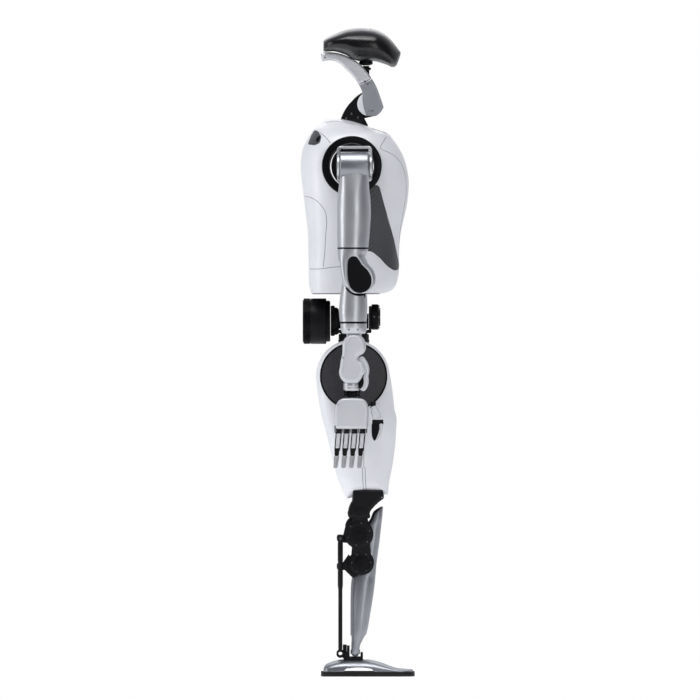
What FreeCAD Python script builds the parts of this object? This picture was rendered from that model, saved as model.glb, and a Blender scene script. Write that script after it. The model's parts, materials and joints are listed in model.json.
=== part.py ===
import FreeCAD, Part
import os
import re
import Sketcher
from FreeCAD import Placement, Rotation, Vector

# A full-size walking humanoid, built as the separate pieces of its kit.
# Frame: +X is the way it faces, +Y its left hand, +Z up. The origin is on the floor,
# under the middle of its outer box. Lengths are millimetres.

os.makedirs("parts", exist_ok=True)
doc = FreeCAD.newDocument("Humanoid")

DIMENSIONS = {
    # joint centres, seen from the side
    "waist_x": -10, "waist_roll_z": 935, "waist_pitch_z": 972,
    "neck_x": 30, "neck_z": 1507, "head_x": 22,
    "shoulder_x": -15, "shoulder_z": 1343, "arm_x": -11,
    "elbow_x": 5, "elbow_z": 1045,
    "hand_x": -15, "hand_z": 745,
    "knuckle_z": 647, "fingertip_joint_z": 589,
    "thumb_x": 41, "thumb_z": 670,
    "hip_x": -10.5, "hip_z": 790.5, "hip_roll_z": 850,
    "knee_x": 6.3, "knee_z": 432, "ankle_x": -6, "ankle_z": 64,
    # distances from the middle plane
    "arm_side": 236, "leg_side": 105, "hip_side": 42,
    # waist
    "waist_motor_radius": 60, "waist_motor_length": 70, "waist_motor_back": -142,
    "yaw_motor_radius": 40, "yaw_motor_top": 902, "pelvis_half_width": 21,
    "yoke_half_width": 30, "cross_half_width": 34, "ear_inner": 41, "ear_thickness": 11,
    # torso
    "shell_wall": 5, "shell_split_x": -20, "ring_outer": 78.8, "ring_inner": 56.4,
    "ring_face": 172, "ring_depth": 22, "battery_height": 230,
    # arm
    "fork_back": -54.5, "fork_front": 38.2, "fork_top": 1395.5, "fork_wall": 8,
    "arm_top_radius": 36.5, "arm_radius": 43, "arm_seam_radius": 40.5, "arm_seam_z": 1126,
    "elbow_radius": 42, "elbow_half_width": 38, "elbow_slot": 26,
    "forearm_radius": 36.5, "forearm_seam_z": 931, "seam_gap": 0.5,
    "wrist_half_width": 27, "wrist_slot": 16.5,
    # hand
    "palm_thickness": 34, "palm_low": 655.5, "palm_high": 732.5, "palm_back": -59.6,
    "palm_front": 28.7, "finger_pitch": 20.8, "finger_width": 16, "finger_back": -49,
    "finger_thickness": 16, "knuckle_radius": 7.5, "finger_splay": 5.2,
    # leg
    "disc_radius": 88.8, "disc_thickness": 5.5, "thigh_inner": 68, "thigh_width": 75,
    "knee_slot": 28.2, "knee_wall": 9, "knee_lug_radius": 22,
    "upper_motor_x": 3.2, "upper_motor_z": 374.7, "upper_motor_radius": 38.7,
    "lower_motor_x": 10, "lower_motor_z": 299.6, "lower_motor_radius": 33.5,
    "motor_half_width": 27.5, "calf_half_width": 30,
    "rod_x": -45.5, "rod_radius": 5.5, "rod_side": 24, "rod_low": 59.3,
    "rod_high_outer": 363, "rod_high_inner": 288,
    # foot
    "foot_half_width": 42, "sole_half_width": 45, "sole_thickness": 12,
    "sole_back": -95.7, "toe_front": 151, "foot_top": 43,
    # head
    "visor_half_width": 92, "neck_half_width": 26, "neck_slot": 20,
}

sheet = doc.addObject("Spreadsheet::Sheet", "Sizes")
for row, (alias, number) in enumerate(DIMENSIONS.items(), start=1):
    sheet.set(f"A{row}", alias)
    sheet.set(f"B{row}", str(number))
    sheet.setAlias(f"B{row}", alias)
doc.recompute()

ALONG = {
    "x": Rotation(Vector(0, 1, 0), 90),
    "y": Rotation(Vector(1, 0, 0), -90),
    "z": Rotation(),
}
SIDES = {"right": -1, "left": 1}
nodes = {}


# ---------------------------------------------------------------- helpers

def size(alias):
    """The sheet's value of one driving dimension."""
    return float(sheet.get(alias))


def formula(text):
    """An expression on the sheet: every alias in the text is read from it."""
    def read(match):
        word = match.group()
        return f"Sizes.{word}" if word in DIMENSIONS else word
    return re.sub(r"[a-z_]+", read, str(text))


def bind(thing, prop, text):
    thing.setExpression(prop, formula(text))


def place(thing, at, turn=Rotation()):
    thing.Placement = Placement(Vector(), turn)
    for axis, position in zip("xyz", at):
        bind(thing, f"Placement.Base.{axis}", position)


def box(lengths, centre):
    """A box with the given lengths along X, Y and Z about its centre."""
    made = doc.addObject("Part::Box", "Box")
    for prop, length in zip(("Length", "Width", "Height"), lengths):
        bind(made, prop, length)
    place(made, [f"({c}) - ({l}) / 2" for c, l in zip(centre, lengths)])
    return made


def cylinder(axis, radius, length, centre):
    """A round bar about its centre, along one axis of the frame."""
    made = doc.addObject("Part::Cylinder", "Cylinder")
    bind(made, "Radius", radius)
    bind(made, "Height", length)
    at = [f"({c}) - ({length}) / 2" if name == axis else c for name, c in zip("xyz", centre)]
    place(made, at, ALONG[axis])
    return made


def cone(low_radius, high_radius, length, base):
    """An upright cone on its base's centre."""
    made = doc.addObject("Part::Cone", "Cone")
    bind(made, "Radius1", low_radius)
    bind(made, "Radius2", high_radius)
    bind(made, "Height", length)
    place(made, base)
    return made


def fuse(*things):
    made = doc.addObject("Part::MultiFuse", "Fusion")
    made.Shapes = list(things)
    return made


def cut(base, *tools):
    made = doc.addObject("Part::Cut", "Cut")
    made.Base = base
    made.Tool = tools[0] if len(tools) == 1 else fuse(*tools)
    return made


def overlap(*things):
    made = doc.addObject("Part::MultiCommon", "Overlap")
    made.Shapes = list(things)
    return made


def group(*things):
    """Separate solids that make one piece of the kit's list."""
    made = doc.addObject("Part::Compound", "Group")
    made.Links = list(things)
    return made


def rounded(base, radius, keep):
    """The base with every edge that keep(edge) accepts rounded."""
    doc.recompute()
    made = doc.addObject("Part::Fillet", "Fillet")
    made.Base = base
    picked = [i for i, edge in enumerate(base.Shape.Edges, start=1) if keep(edge)]
    made.Edges = [(i, radius, radius) for i in picked]
    return made


def runs_along(axis):
    """Accepts the straight edges that run along one axis."""
    way = dict(x=Vector(1, 0, 0), y=Vector(0, 1, 0), z=Vector(0, 0, 1))[axis]

    def accepts(edge):
        straight = isinstance(edge.Curve, Part.Line)
        return straight and abs(edge.Curve.Direction.dot(way)) > 0.999
    return accepts


def corners_rounded(thing, back, front, width, centre_y, centre_z, radius):
    """The part of a piece inside an upright box whose four upright edges are rounded."""
    plan = box((f"{front} - ({back})", width, 160), (f"({front} + {back}) / 2", centre_y, centre_z))
    return overlap(thing, rounded(plan, radius, runs_along("z")))


def slab(name, start, steps, width, centre_y, rim=0):
    """A side outline padded to both sides of a plane of constant Y.

    A step of two numbers is a straight run to that point, and a step of four is an arc
    through the first point to the second. rim rounds the edges of both flat faces.
    """
    body = doc.addObject("PartDesign::Body", name)
    sketch = body.newObject("Sketcher::SketchObject", name + "_outline")
    plane = next(f for f in body.Origin.OriginFeatures if f.Role == "XZ_Plane")
    sketch.AttachmentSupport = (plane, [""])
    sketch.MapMode = "FlatFace"
    here = Vector(*start, 0)
    for step in list(steps) + [start]:
        there = Vector(*step[-2:], 0)
        if len(step) == 2:
            sketch.addGeometry(Part.LineSegment(here, there), False)
        else:
            sketch.addGeometry(Part.Arc(here, Vector(*step[:2], 0), there), False)
        here = there
    count = sketch.GeometryCount
    for index in range(count):
        following = (index + 1) % count
        for mine in (1, 2):
            for theirs in (1, 2):
                gap = sketch.getPoint(index, mine) - sketch.getPoint(following, theirs)
                if gap.Length < 1e-6:
                    joined = Sketcher.Constraint("Coincident", index, mine, following, theirs)
                    sketch.addConstraint(joined)
    pad = body.newObject("PartDesign::Pad", name + "_pad")
    pad.Profile = sketch
    pad.Midplane = True
    bind(pad, "Length", width)
    if rim:
        doc.recompute()
        flat = [f"Face{i}" for i, face in enumerate(pad.Shape.Faces, start=1)
                if abs(face.normalAt(0, 0).y) > 0.999]
        fillet = body.newObject("PartDesign::Fillet", name + "_rim")
        fillet.Base = (pad, flat)
        fillet.Radius = rim
    place(body, (0, centre_y, 0))
    return body


def turned(name, profile, centre):
    """A solid of revolution about an upright axis. The profile's points are (radius, z)."""
    body = doc.addObject("PartDesign::Body", name)
    sketch = body.newObject("Sketcher::SketchObject", name + "_profile")
    plane = next(f for f in body.Origin.OriginFeatures if f.Role == "XZ_Plane")
    sketch.AttachmentSupport = (plane, [""])
    sketch.MapMode = "FlatFace"
    points = [Vector(0, profile[0][1], 0)]
    points += [Vector(radius, z, 0) for radius, z in profile]
    points += [Vector(0, profile[-1][1], 0)]
    for here, there in zip(points, points[1:] + points[:1]):
        sketch.addGeometry(Part.LineSegment(here, there), False)
    for index in range(len(points)):
        following = (index + 1) % len(points)
        sketch.addConstraint(Sketcher.Constraint("Coincident", index, 2, following, 1))
    revolution = body.newObject("PartDesign::Revolution", name + "_turn")
    revolution.Profile = sketch
    revolution.ReferenceAxis = (sketch, ["V_Axis"])
    revolution.Angle = 360
    place(body, (*centre, 0))
    return body


def shaped(name, shape):
    """A free-form piece whose shape is worked out from the sheet's sizes."""
    made = doc.addObject("Part::Feature", name)
    made.Shape = shape
    made.Placement = Placement()
    return made


def node(name, thing):
    thing.Label = name
    nodes[name] = thing


def outward(side, text):
    """A position on the Y axis, measured outward from the middle plane."""
    return f"({side}) * ({text})"


# ---------------------------------------------------------------- waist and pelvis

def build_waist():
    spine = box((78, "pelvis_half_width * 2", 50), ("hip_x", 0, "hip_roll_z - 2"))
    keel = box((60, "pelvis_half_width", 90), ("hip_x", 0, 785))
    motor = cylinder("z", "yaw_motor_radius", 32, ("waist_x", 0, "yaw_motor_top - 16"))
    node("pelvis_frame", fuse(spine, keel, motor))

    base = cylinder("z", "yoke_half_width + 8", 10, ("waist_x", 0, "yaw_motor_top + 5.5"))
    back_plate = box((10, "yoke_half_width * 2", 80), (-65, 0, "waist_roll_z"))
    back_foot = box((60, "yoke_half_width * 2", 9), (-40, 0, "yaw_motor_top + 6"))
    front_foot = box((40, "yoke_half_width * 2 - 6", 9), (16, 0, "yaw_motor_top + 6"))
    front_plate = box((7, "yoke_half_width * 2 - 6", 72), (33, 0, "waist_roll_z + 4"))
    bearing = cylinder("x", 33.6, 20.5, (46.7, 0, "waist_roll_z + 11"))
    hub = cylinder("x", 24, 4, (58, 0, "waist_roll_z + 11"))
    node("waist_yoke", fuse(base, back_plate, back_foot, front_foot, front_plate, bearing, hub))

    motor = cylinder("x", "waist_motor_radius", "waist_motor_length",
                     ("waist_motor_back + waist_motor_length / 2", 0, "waist_roll_z"))
    node("waist_roll_motor", rounded(motor, 3, lambda edge: isinstance(edge.Curve, Part.Circle)))

    block = box((70, "cross_half_width * 2", 38), ("waist_x", 0, "waist_roll_z + 6"))
    shaft = cylinder("x", 20, 88, (-15, 0, "waist_roll_z"))
    axle = cylinder("y", 14, "ear_inner * 2 - 1", ("waist_x", 0, "waist_pitch_z"))
    saddle = box((30, "cross_half_width * 2", 30), ("waist_x", 0, "waist_pitch_z - 10"))
    node("waist_cross", fuse(block, shaft, axle, saddle))


# ---------------------------------------------------------------- torso

# Height, back, front, half width and corner radius of the torso's cross-sections.
TORSO_SECTIONS = [
    (1008, -123, 68, 106, 30),
    (1040, -128, 104, 112, 40),
    (1121, -129, 109, 121, 45),
    (1200, -134, 121, 136, 50),
    (1306, -147, 135, 156, 55),
    (1363, -149, 123, 158, 55),
    (1405, -138, 99, 148, 50),
    (1431, -123, 78, 128, 45),
    (1446, -104, 40, 100, 40),
]


def section_wire(z, back, front, half_width, corner):
    """A rounded rectangle at height z, as four straight runs and four quarter arcs."""
    diagonal = corner * (1 - 0.5 ** 0.5)
    corners = [(front, half_width), (back, half_width), (back, -half_width), (front, -half_width)]
    inward = [(-1, -1), (1, -1), (1, 1), (-1, 1)]
    edges = []
    ends = []
    for index, ((x, y), (dx, dy)) in enumerate(zip(corners, inward)):
        on_side = Vector(x, y + dy * corner, z)
        on_end = Vector(x + dx * corner, y, z)
        first, last = (on_side, on_end) if index % 2 == 0 else (on_end, on_side)
        middle = Vector(x + dx * diagonal, y + dy * diagonal, z)
        edges.append(Part.Arc(first, middle, last).toShape())
        ends.append((first, last))
    runs = []
    for (_, here), (there, _), arc in zip(ends, ends[1:] + ends[:1], edges):
        runs += [arc, Part.makeLine(here, there)]
    return Part.Wire(runs)


def torso_solid(inset):
    wires = [section_wire(z, back + inset, front - inset, half - inset, corner - inset / 2)
             for z, back, front, half, corner in TORSO_SECTIONS]
    return Part.makeLoft(wires, True)


def side_prism(points, low, high):
    """A straight-sided outline in the XZ plane, extruded from y = low to y = high."""
    loop = [Vector(x, low, z) for x, z in points]
    face = Part.Face(Part.makePolygon(loop + loop[:1]))
    return face.extrude(Vector(0, high - low, 0))


def build_torso():
    wall = size("shell_wall")
    far = 400
    outer = torso_solid(0)
    inner = torso_solid(wall)
    skin = outer.cut(inner)
    floor_cut = Part.makeBox(2 * far, 2 * far, 0.5, Vector(-far, -far, 1007.6))
    skin = skin.cut(floor_cut)
    reach = size("ring_face") - size("ring_depth") - 0.4
    centre = Vector(size("shoulder_x"), 0, size("shoulder_z"))
    for side in SIDES.values():
        pocket = Part.makeCylinder(size("ring_outer") + 0.4, far,
                                   centre + Vector(0, side * reach, 0), Vector(0, side, 0))
        skin = skin.cut(pocket)
    panel_points = [(57, 1293), (96, 1150), (107, 1107), (92, 1072), (80, 1079), (57, 1105),
                    (10, 1120), (10, 1200), (40, 1285)]
    panels = []
    for side in SIDES.values():
        low, high = sorted((side * 60, side * far))
        prism = side_prism(panel_points, low, high)
        panels.append(skin.common(prism))
        skin = skin.cut(prism)
    split = size("shell_split_x")
    front_half = Part.makeBox(far, 2 * far, 2 * far, Vector(split, -far, 900))
    back_half = Part.makeBox(far, 2 * far, 2 * far, Vector(split - far, -far, 900))
    neck_hole = Part.makeBox(90, 60, 80, Vector(-50, -30, 1400))
    node("chest_shell", shaped("Chest", skin.common(front_half).cut(neck_hole)))
    collar = Part.makeLoft([
        section_wire(1437, -108, -20, 84, 20),
        section_wire(1468, -79, -46, 50, 14),
    ], True).cut(Part.makeBox(90, 60, 80, Vector(-52, -30, 1400)))
    back = skin.common(back_half).cut(neck_hole)
    node("back_shell", shaped("Back", back.fuse(collar.cut(inner))))
    node("side_panels", shaped("Panels", Part.makeCompound(panels)))

    spine = box((70, 90, 370), (-5, 0, 1235))
    beam = cylinder("y", 40, "(ring_face - ring_depth) * 2 - 4", ("shoulder_x", 0, "shoulder_z"))
    ears = []
    for side in SIDES.values():
        y = outward(side, "ear_inner + ear_thickness / 2")
        ears.append(box((28, "ear_thickness", 88), ("waist_x", y, 1016)))
        ears.append(cylinder("y", 18, "ear_thickness", ("waist_x", y, "waist_pitch_z")))
    sill = box((60, 110, 12), ("waist_x", 0, 1052))
    node("torso_frame", fuse(spine, beam, sill, *ears))

    pack = box((50, 150, "battery_height"), (-80, 0, 1175))
    node("battery_pack", rounded(pack, 6, runs_along("z")))

    rings = []
    for side in SIDES.values():
        y = outward(side, "ring_face - ring_depth / 2")
        at = ("shoulder_x", y, "shoulder_z")
        disc = cylinder("y", "ring_outer", "ring_depth", at)
        hole = cylinder("y", "ring_inner", "ring_depth + 2", at)
        rings.append(cut(disc, hole))
    node("shoulder_rings", group(*rings))


# ---------------------------------------------------------------- head and neck

def build_head():
    stem = slab("Stem", (-47, 1452), [
        (-32, 1491), (-13, 1517), (6, 1535), (40, 1535), (55, 1518), (55, 1490),
        (50, 1470), (30, 1452),
    ], "neck_slot * 2 - 1", 0)
    root = box((76, "neck_slot * 2 + 12", 32), (-8, 0, 1437))
    node("neck_stem", fuse(stem, root))

    arc = slab("Arc", (-97, 1634), [
        (-95, 1641, -88, 1642), (-38, 1637, 24, 1593), (53, 1551, 66, 1512),
        (66, 1478, 33, 1474), (5, 1482, 0, 1510), (3, 1530, 12, 1534),
        (-6, 1572, -32, 1599), (-62, 1621, -93, 1619),
    ], "neck_half_width * 2", 0)
    slot = box((120, "neck_slot * 2", 110), (20, 0, 1497))
    pin = cylinder("y", 9, 4, ("neck_x", "neck_half_width + 2", "neck_z"))
    pin_far = cylinder("y", 9, 4, ("neck_x", "-neck_half_width - 2", "neck_z"))
    boss = cylinder("z", 9, 22, ("head_x", 0, 1597))
    node("neck_arc", fuse(cut(arc, slot), pin, pin_far, boss))

    flange = cone(10, 18, 10, ("head_x", 0, 1608.5))
    post = cylinder("z", 18, 32, ("head_x", 0, 1634))
    node("head_swivel", fuse(flange, post))

    visor = slab("Visor", (-90, 1673), [
        (-42, 1700, 12, 1707.4), (80.6, 1684, 113.5, 1643.5), (102, 1608), (91, 1604),
        (57, 1619), (4, 1621), (-50, 1647), (-87, 1647),
    ], "visor_half_width * 2", 0)
    visor = corners_rounded(visor, -91, 114, "visor_half_width * 2", 0, 1650, 50)
    hollow = cylinder("z", "visor_half_width - 6", 60, ("head_x", 0, 1620.3))
    node("visor_shell", cut(visor, hollow))


# ---------------------------------------------------------------- arms

def build_arm(name, side):
    y_arm = outward(side, "arm_side")

    block = box(("fork_front - fork_back", 15, 95),
                ("(fork_front + fork_back) / 2", outward(side, 180.5), "fork_top - 47.5"))
    hub = cylinder("y", "ring_inner - 2", 20, ("shoulder_x", outward(side, 163.5), "shoulder_z"))
    prongs = []
    for edge, way in (("fork_back", 1), ("fork_front", -1)):
        x = f"{edge} + {way} * fork_wall / 2"
        prongs.append(box(("fork_wall", "arm_side - 180", 56),
                          (x, outward(side, "(arm_side + 180) / 2"), "shoulder_z")))
        prongs.append(cylinder("x", 28, "fork_wall", (x, y_arm, "shoulder_z")))
    node(f"{name}_shoulder_fork",
         fuse(rounded(block, 12, runs_along("y")), hub, *prongs))

    middle = "(fork_front + fork_back) / 2"
    head = cylinder("x", "arm_top_radius", "fork_front - fork_back - 2 * fork_wall - 1",
                    (middle, y_arm, "shoulder_z"))
    tube = turned(f"{name}_arm_tube", [
        (size("arm_seam_radius"), size("arm_seam_z") + size("seam_gap")),
        (size("arm_radius") - 0.6, 1170), (size("arm_radius"), 1215),
        (size("arm_radius") - 1, 1260), (39.5, 1298), (35.8, 1312), (34, 1343),
    ], ("arm_x + 1", y_arm))
    node(f"{name}_upper_arm", fuse(head, tube))

    build_elbow(name, y_arm)
    build_wrist(name, y_arm)
    build_hand(name, y_arm)


def build_elbow(name, y_arm):
    elbow = (size("elbow_x"), size("elbow_z"))
    radius = size("elbow_radius")
    housing = slab(f"{name}_housing", (-51, 1112), [
        (-47, 1075), (-38, 1045), (elbow[0], elbow[1] - radius + 3, 47, 1045),
        (48, 1062, 40, 1074), (22, 1096), (26, 1112),
    ], "elbow_half_width * 2", y_arm, 4)
    collar = cylinder("z", "arm_seam_radius", "26 - seam_gap",
                      ("arm_x", y_arm, "arm_seam_z - 13 - seam_gap / 2"))
    slot = box((130, "elbow_slot * 2", 100), ("elbow_x", y_arm, 1043))
    node(f"{name}_elbow_housing", fuse(cut(housing, slot), collar))

    caps = []
    for face in (-1, 1):
        y = f"{y_arm} + {face} * (elbow_half_width + 1.6)"
        caps.append(slab(f"{name}_cap", (-7, 1099), [
            (-24, 1066), (-26, 1040, -20, 1024), (elbow[0], 1009, 32, 1026),
            (39, 1040, 35, 1056), (26, 1074, 4, 1093),
        ], 3, y))
    node(f"{name}_elbow_cap", group(*caps))

    tube = cylinder("z", "forearm_radius", "104 - seam_gap",
                    ("arm_x - 1", y_arm, "forearm_seam_z + 52 + seam_gap / 2"))
    clearance = cylinder("y", "elbow_radius + 5", 120, ("elbow_x", y_arm, "elbow_z"))
    tongue = slab(f"{name}_tongue", (elbow[0] - 30, elbow[1]), [
        (elbow[0], elbow[1] + 30, elbow[0] + 30, elbow[1]), (20, 965), (-42, 965),
    ], "elbow_slot * 2 - 1.6", y_arm)
    node(f"{name}_forearm", fuse(cut(tube, clearance), tongue))


def build_wrist(name, y_arm):
    sleeve = turned(f"{name}_sleeve", [
        (27, 904), (31, 908), (34.5, 922), (35, size("forearm_seam_z")),
    ], ("arm_x + 1", y_arm))
    tongue = slab(f"{name}_wrist_tongue", (-29, 908), [
        (-29, 871), (-9, 851, 11, 871), (11, 908),
    ], "wrist_slot * 2 - 1.4", y_arm)
    node(f"{name}_wrist_sleeve", fuse(sleeve, tongue))

    link = slab(f"{name}_link", (-39.5, 871), [
        (-9, 901.6, 21.6, 871), (17, 848, 15, 833), (21, 812, 14, 792), (-2, 770.5),
        (-26, 770.5), (-46, 788, -46.5, 812), (-42, 832, -34, 848),
    ], "wrist_half_width * 2", y_arm)
    slot = box((80, "wrist_slot * 2", 80), (-9, y_arm, 880))
    ring = cylinder("z", 22.3, 19, ("hand_x", y_arm, 763.5))
    lugs = []
    for x in (-33.5, 3.5):
        lugs.append(box((7, 16, 14), (x, y_arm, 752)))
        lugs.append(cylinder("x", 8, 7, (x, y_arm, "hand_z")))
    node(f"{name}_wrist_link", fuse(cut(link, slot), ring, *lugs))


def build_hand(name, y_arm):
    palm = box(("palm_front - palm_back", "palm_thickness", "palm_high - palm_low"),
               ("(palm_front + palm_back) / 2", y_arm, "(palm_high + palm_low) / 2"))
    swivel = cylinder("x", 7.5, 28, ("hand_x", y_arm, "hand_z"))
    neck = box((26, 14, 14), ("hand_x", y_arm, "hand_z - 8"))
    lugs = [box((3, 11, 9), (f"finger_back + ({k} - 0.5) * finger_pitch", y_arm,
                             "knuckle_z + 5.5")) for k in range(5)]
    thumb_lug = box((5, 14, 8), ("palm_front + 1", y_arm, 729))
    node(f"{name}_palm", fuse(rounded(palm, 7, runs_along("y")), swivel, neck, thumb_lug, *lugs))

    splay = Rotation(Vector(0, 1, 0), size("finger_splay"))
    proximal = []
    distal = []
    for k in range(4):
        x = size("finger_back") + k * size("finger_pitch")
        barrel = cylinder("x", "knuckle_radius", "finger_width", (x, y_arm, "knuckle_z"))
        bar = box(("finger_width", "finger_thickness - 1", 46), (0, y_arm, 0))
        place(bar, (x - 12.15, f"{y_arm} - (finger_thickness - 1) / 2", "knuckle_z - 48"), splay)
        proximal.append(fuse(barrel, bar))
        tip_x = x - 5.3
        joint = cylinder("x", 6.8, "finger_width - 2", (tip_x, y_arm, "fingertip_joint_z"))
        tip = box(("finger_width - 2", 13, 38), (0, y_arm, 0))
        place(tip, (tip_x - 10.4, f"{y_arm} - 6.5", "fingertip_joint_z - 40.2"), splay)
        distal.append(fuse(joint, tip))
    node(f"{name}_fingers_proximal", group(*proximal))
    node(f"{name}_fingers_distal", group(*distal))

    pivot = cylinder("z", 7, 14, ("thumb_x", y_arm, 717))
    segment = box((17, 15, 28), ("thumb_x + 3", y_arm, 696))
    node(f"{name}_thumb_base", fuse(pivot, segment))
    pad = box((16, 13, 38), ("thumb_x + 3", y_arm, 640))
    knuckle = cylinder("x", 6.5, 22, ("thumb_x + 7", y_arm, "thumb_z"))
    node(f"{name}_thumb_tip", fuse(rounded(pad, 4, runs_along("y")), knuckle))


# ---------------------------------------------------------------- legs

def build_leg(name, side):
    build_hip(name, side)
    y_leg = outward(side, "leg_side")
    build_knee(name, side, y_leg)
    build_shank(name, side, y_leg)
    build_foot(name, y_leg)


def build_hip(name, side):
    y_hip = outward(side, "hip_side")
    roll = cylinder("x", 17, 52, ("hip_x", y_hip, "hip_roll_z"))
    seat = cylinder("z", 16, 20, ("hip_x", y_hip, "hip_roll_z - 13"))
    node(f"{name}_hip_roll_link", fuse(roll, seat))

    column = cylinder("z", 18, 70, ("hip_x", y_hip, "hip_z - 0.5"))
    axle = cylinder("y", 16, "thigh_inner - hip_side - 0.5",
                    ("hip_x", outward(side, "(thigh_inner + hip_side - 0.5) / 2"), "hip_z"))
    node(f"{name}_hip_yaw_link", fuse(column, axle))


def build_knee(name, side, y_leg):
    y_thigh = outward(side, "thigh_inner + thigh_width / 2")
    thigh = slab(f"{name}_thigh", (-106.5, 780), [
        (-10.5, 886.5, 84, 799), (97, 697, 101.7, 655), (97, 590, 80, 477), (24, 481),
        (-27.7, 467.7), (-46, 506, -56, 533), (-96, 692), (-103, 735),
    ], "thigh_width", y_thigh)
    fork_room = box((150, "(knee_slot + knee_wall) * 2 + 1", 40), (20, y_leg, 470))
    node(f"{name}_thigh_shell", cut(thigh, fork_room))

    y_disc = outward(side, "thigh_inner + thigh_width + 0.3 + disc_thickness / 2")
    disc = cylinder("y", "disc_radius", "disc_thickness", ("hip_x", y_disc, "hip_z"))
    node(f"{name}_hip_disc", disc)

    casting = slab(f"{name}_casting", (-13, 489), [
        (-15, 461), (-25, 436), (-24, 420), (-16, 416), (26, 416), (33, 422), (34, 436),
        (67, 468), (69, 478), (24, 489),
    ], "(knee_slot + knee_wall) * 2", y_leg)
    slot = box((120, "knee_slot * 2", 60), (10, y_leg, 431))
    node(f"{name}_knee_casting", cut(casting, slot))


def build_shank(name, side, y_leg):
    lug = cylinder("y", "knee_lug_radius", "knee_slot * 2 - 1", ("knee_x", y_leg, "knee_z"))
    web = box((34, 44, 50), ("knee_x", y_leg, "knee_z - 22"))
    upper = cylinder("y", "upper_motor_radius", "motor_half_width * 2",
                     ("upper_motor_x", y_leg, "upper_motor_z"))
    lower = cylinder("y", "lower_motor_radius", "motor_half_width * 2",
                     ("lower_motor_x", y_leg, "lower_motor_z"))
    neck = box((44, 44, 30), (6, y_leg, 337))
    cranks = [box((46, 30, 16), (-30, y_leg, height))
              for height in ("rod_high_outer", "rod_high_inner")]
    node(f"{name}_shank_frame", fuse(lug, web, upper, lower, neck, *cranks))

    calf = slab(f"{name}_calf", (67, 448), [
        (61, 380, 47.7, 292.5), (42.5, 215, 24.2, 114.6), (9, 82), (6.5, 64),
        (-6, 51.5, -18.5, 64), (-18.2, 232), (-16, 246), (-8.2, 270.4),
        (23, 267.9, 44.2, 302.6), (34.4, 350.4), (42.6, 375, 34.4, 399), (38, 417), (42, 433),
    ], "calf_half_width * 2", y_leg)
    slot = box((60, 32, 70), ("ankle_x", y_leg, 74))
    taper = [box((60, 10, 50), ("ankle_x", f"{y_leg} + {face} * 30", 66)) for face in (-1, 1)]
    node(f"{name}_calf_shell", cut(calf, slot, *taper))

    rods = []
    for face, top in ((side, "rod_high_outer"), (-side, "rod_high_inner")):
        y = f"{y_leg} + ({face}) * rod_side"
        shaft = cylinder("z", "rod_radius", f"{top} - rod_low - 12",
                         ("rod_x", y, f"({top} + rod_low) / 2"))
        eye = cylinder("y", 10.3, "rod_radius * 2 - 1", ("rod_x", y, "rod_low"))
        head = cylinder("y", 9, "rod_radius * 2 - 1", ("rod_x", y, top))
        holes = [cylinder("y", 5, 20, ("rod_x", y, z)) for z in ("rod_low", top)]
        rods.append(cut(fuse(shaft, eye, head), *holes))
    node(f"{name}_ankle_rods", group(*rods))


def build_foot(name, y_leg):
    block = box((18, 20, 16), ("ankle_x", y_leg, "ankle_z"))
    pitch_pin = cylinder("y", 5, 31, ("ankle_x", y_leg, "ankle_z"))
    roll_pin = cylinder("x", 5, 25, ("ankle_x", y_leg, "ankle_z"))
    node(f"{name}_ankle_cross", fuse(block, pitch_pin, roll_pin))

    shell = slab(f"{name}_foot", (-90, 12.5), [
        (-88, 24, -82, 31), (-60, 40, -37, 43), (29, 43), (62, 36, 104, 20.6),
        (130, 18.6, 146, 17), (147, 12.5), (42, 12.5), (38, 21), (-32, 21), (-36, 12.5),
    ], "foot_half_width * 2", y_leg)
    shell = corners_rounded(shell, -91, 148, "foot_half_width * 2", y_leg, 30, 34)
    base = box((50, 26, 8), (-12, y_leg, "foot_top + 3.6"))
    back_prong = box((9, 24, 48), (-23.5, y_leg, 66))
    front_prong = box((7, 24, 30), (11, y_leg, 57))
    node(f"{name}_foot_shell", fuse(shell, base, back_prong, front_prong))

    heel = size("sole_back")
    toe = size("toe_front")
    thick = size("sole_thickness")
    lift = 9
    bulge = lift * (1 - 0.5 ** 0.5)
    sole = slab(f"{name}_sole", (heel, thick), [
        (heel, lift), (heel + bulge, bulge, heel + lift, 0), (toe - lift, 0),
        (toe - bulge, bulge, toe, lift), (toe, thick),
    ], "sole_half_width * 2", y_leg)
    node(f"{name}_sole", corners_rounded(sole, "sole_back", "toe_front", "sole_half_width * 2",
                                         y_leg, 5, 36))


# ---------------------------------------------------------------- build and write

build_waist()
build_torso()
build_head()
for side_name, side_sign in SIDES.items():
    build_arm(side_name, side_sign)
    build_leg(side_name, side_sign)
doc.recompute()

failed = [thing.Label for thing in doc.Objects
          if "Invalid" in thing.State or "Error" in thing.State]
failed += [name for name, thing in nodes.items()
           if thing.Shape.isNull() or not thing.Shape.isValid()]
if failed:
    raise RuntimeError("these failed: " + ", ".join(failed))
for name, thing in nodes.items():
    thing.Shape.exportStep(f"parts/{name}.step")
print(f"{len(nodes)} pieces written")
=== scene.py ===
import json
from math import atan2, cos, pi, radians, sin, sqrt, tau
import bmesh
import bpy
import numpy as np
from mathutils import Matrix, Vector
from mathutils.bvhtree import BVHTree
from mathutils.geometry import delaunay_2d_cdt

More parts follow.
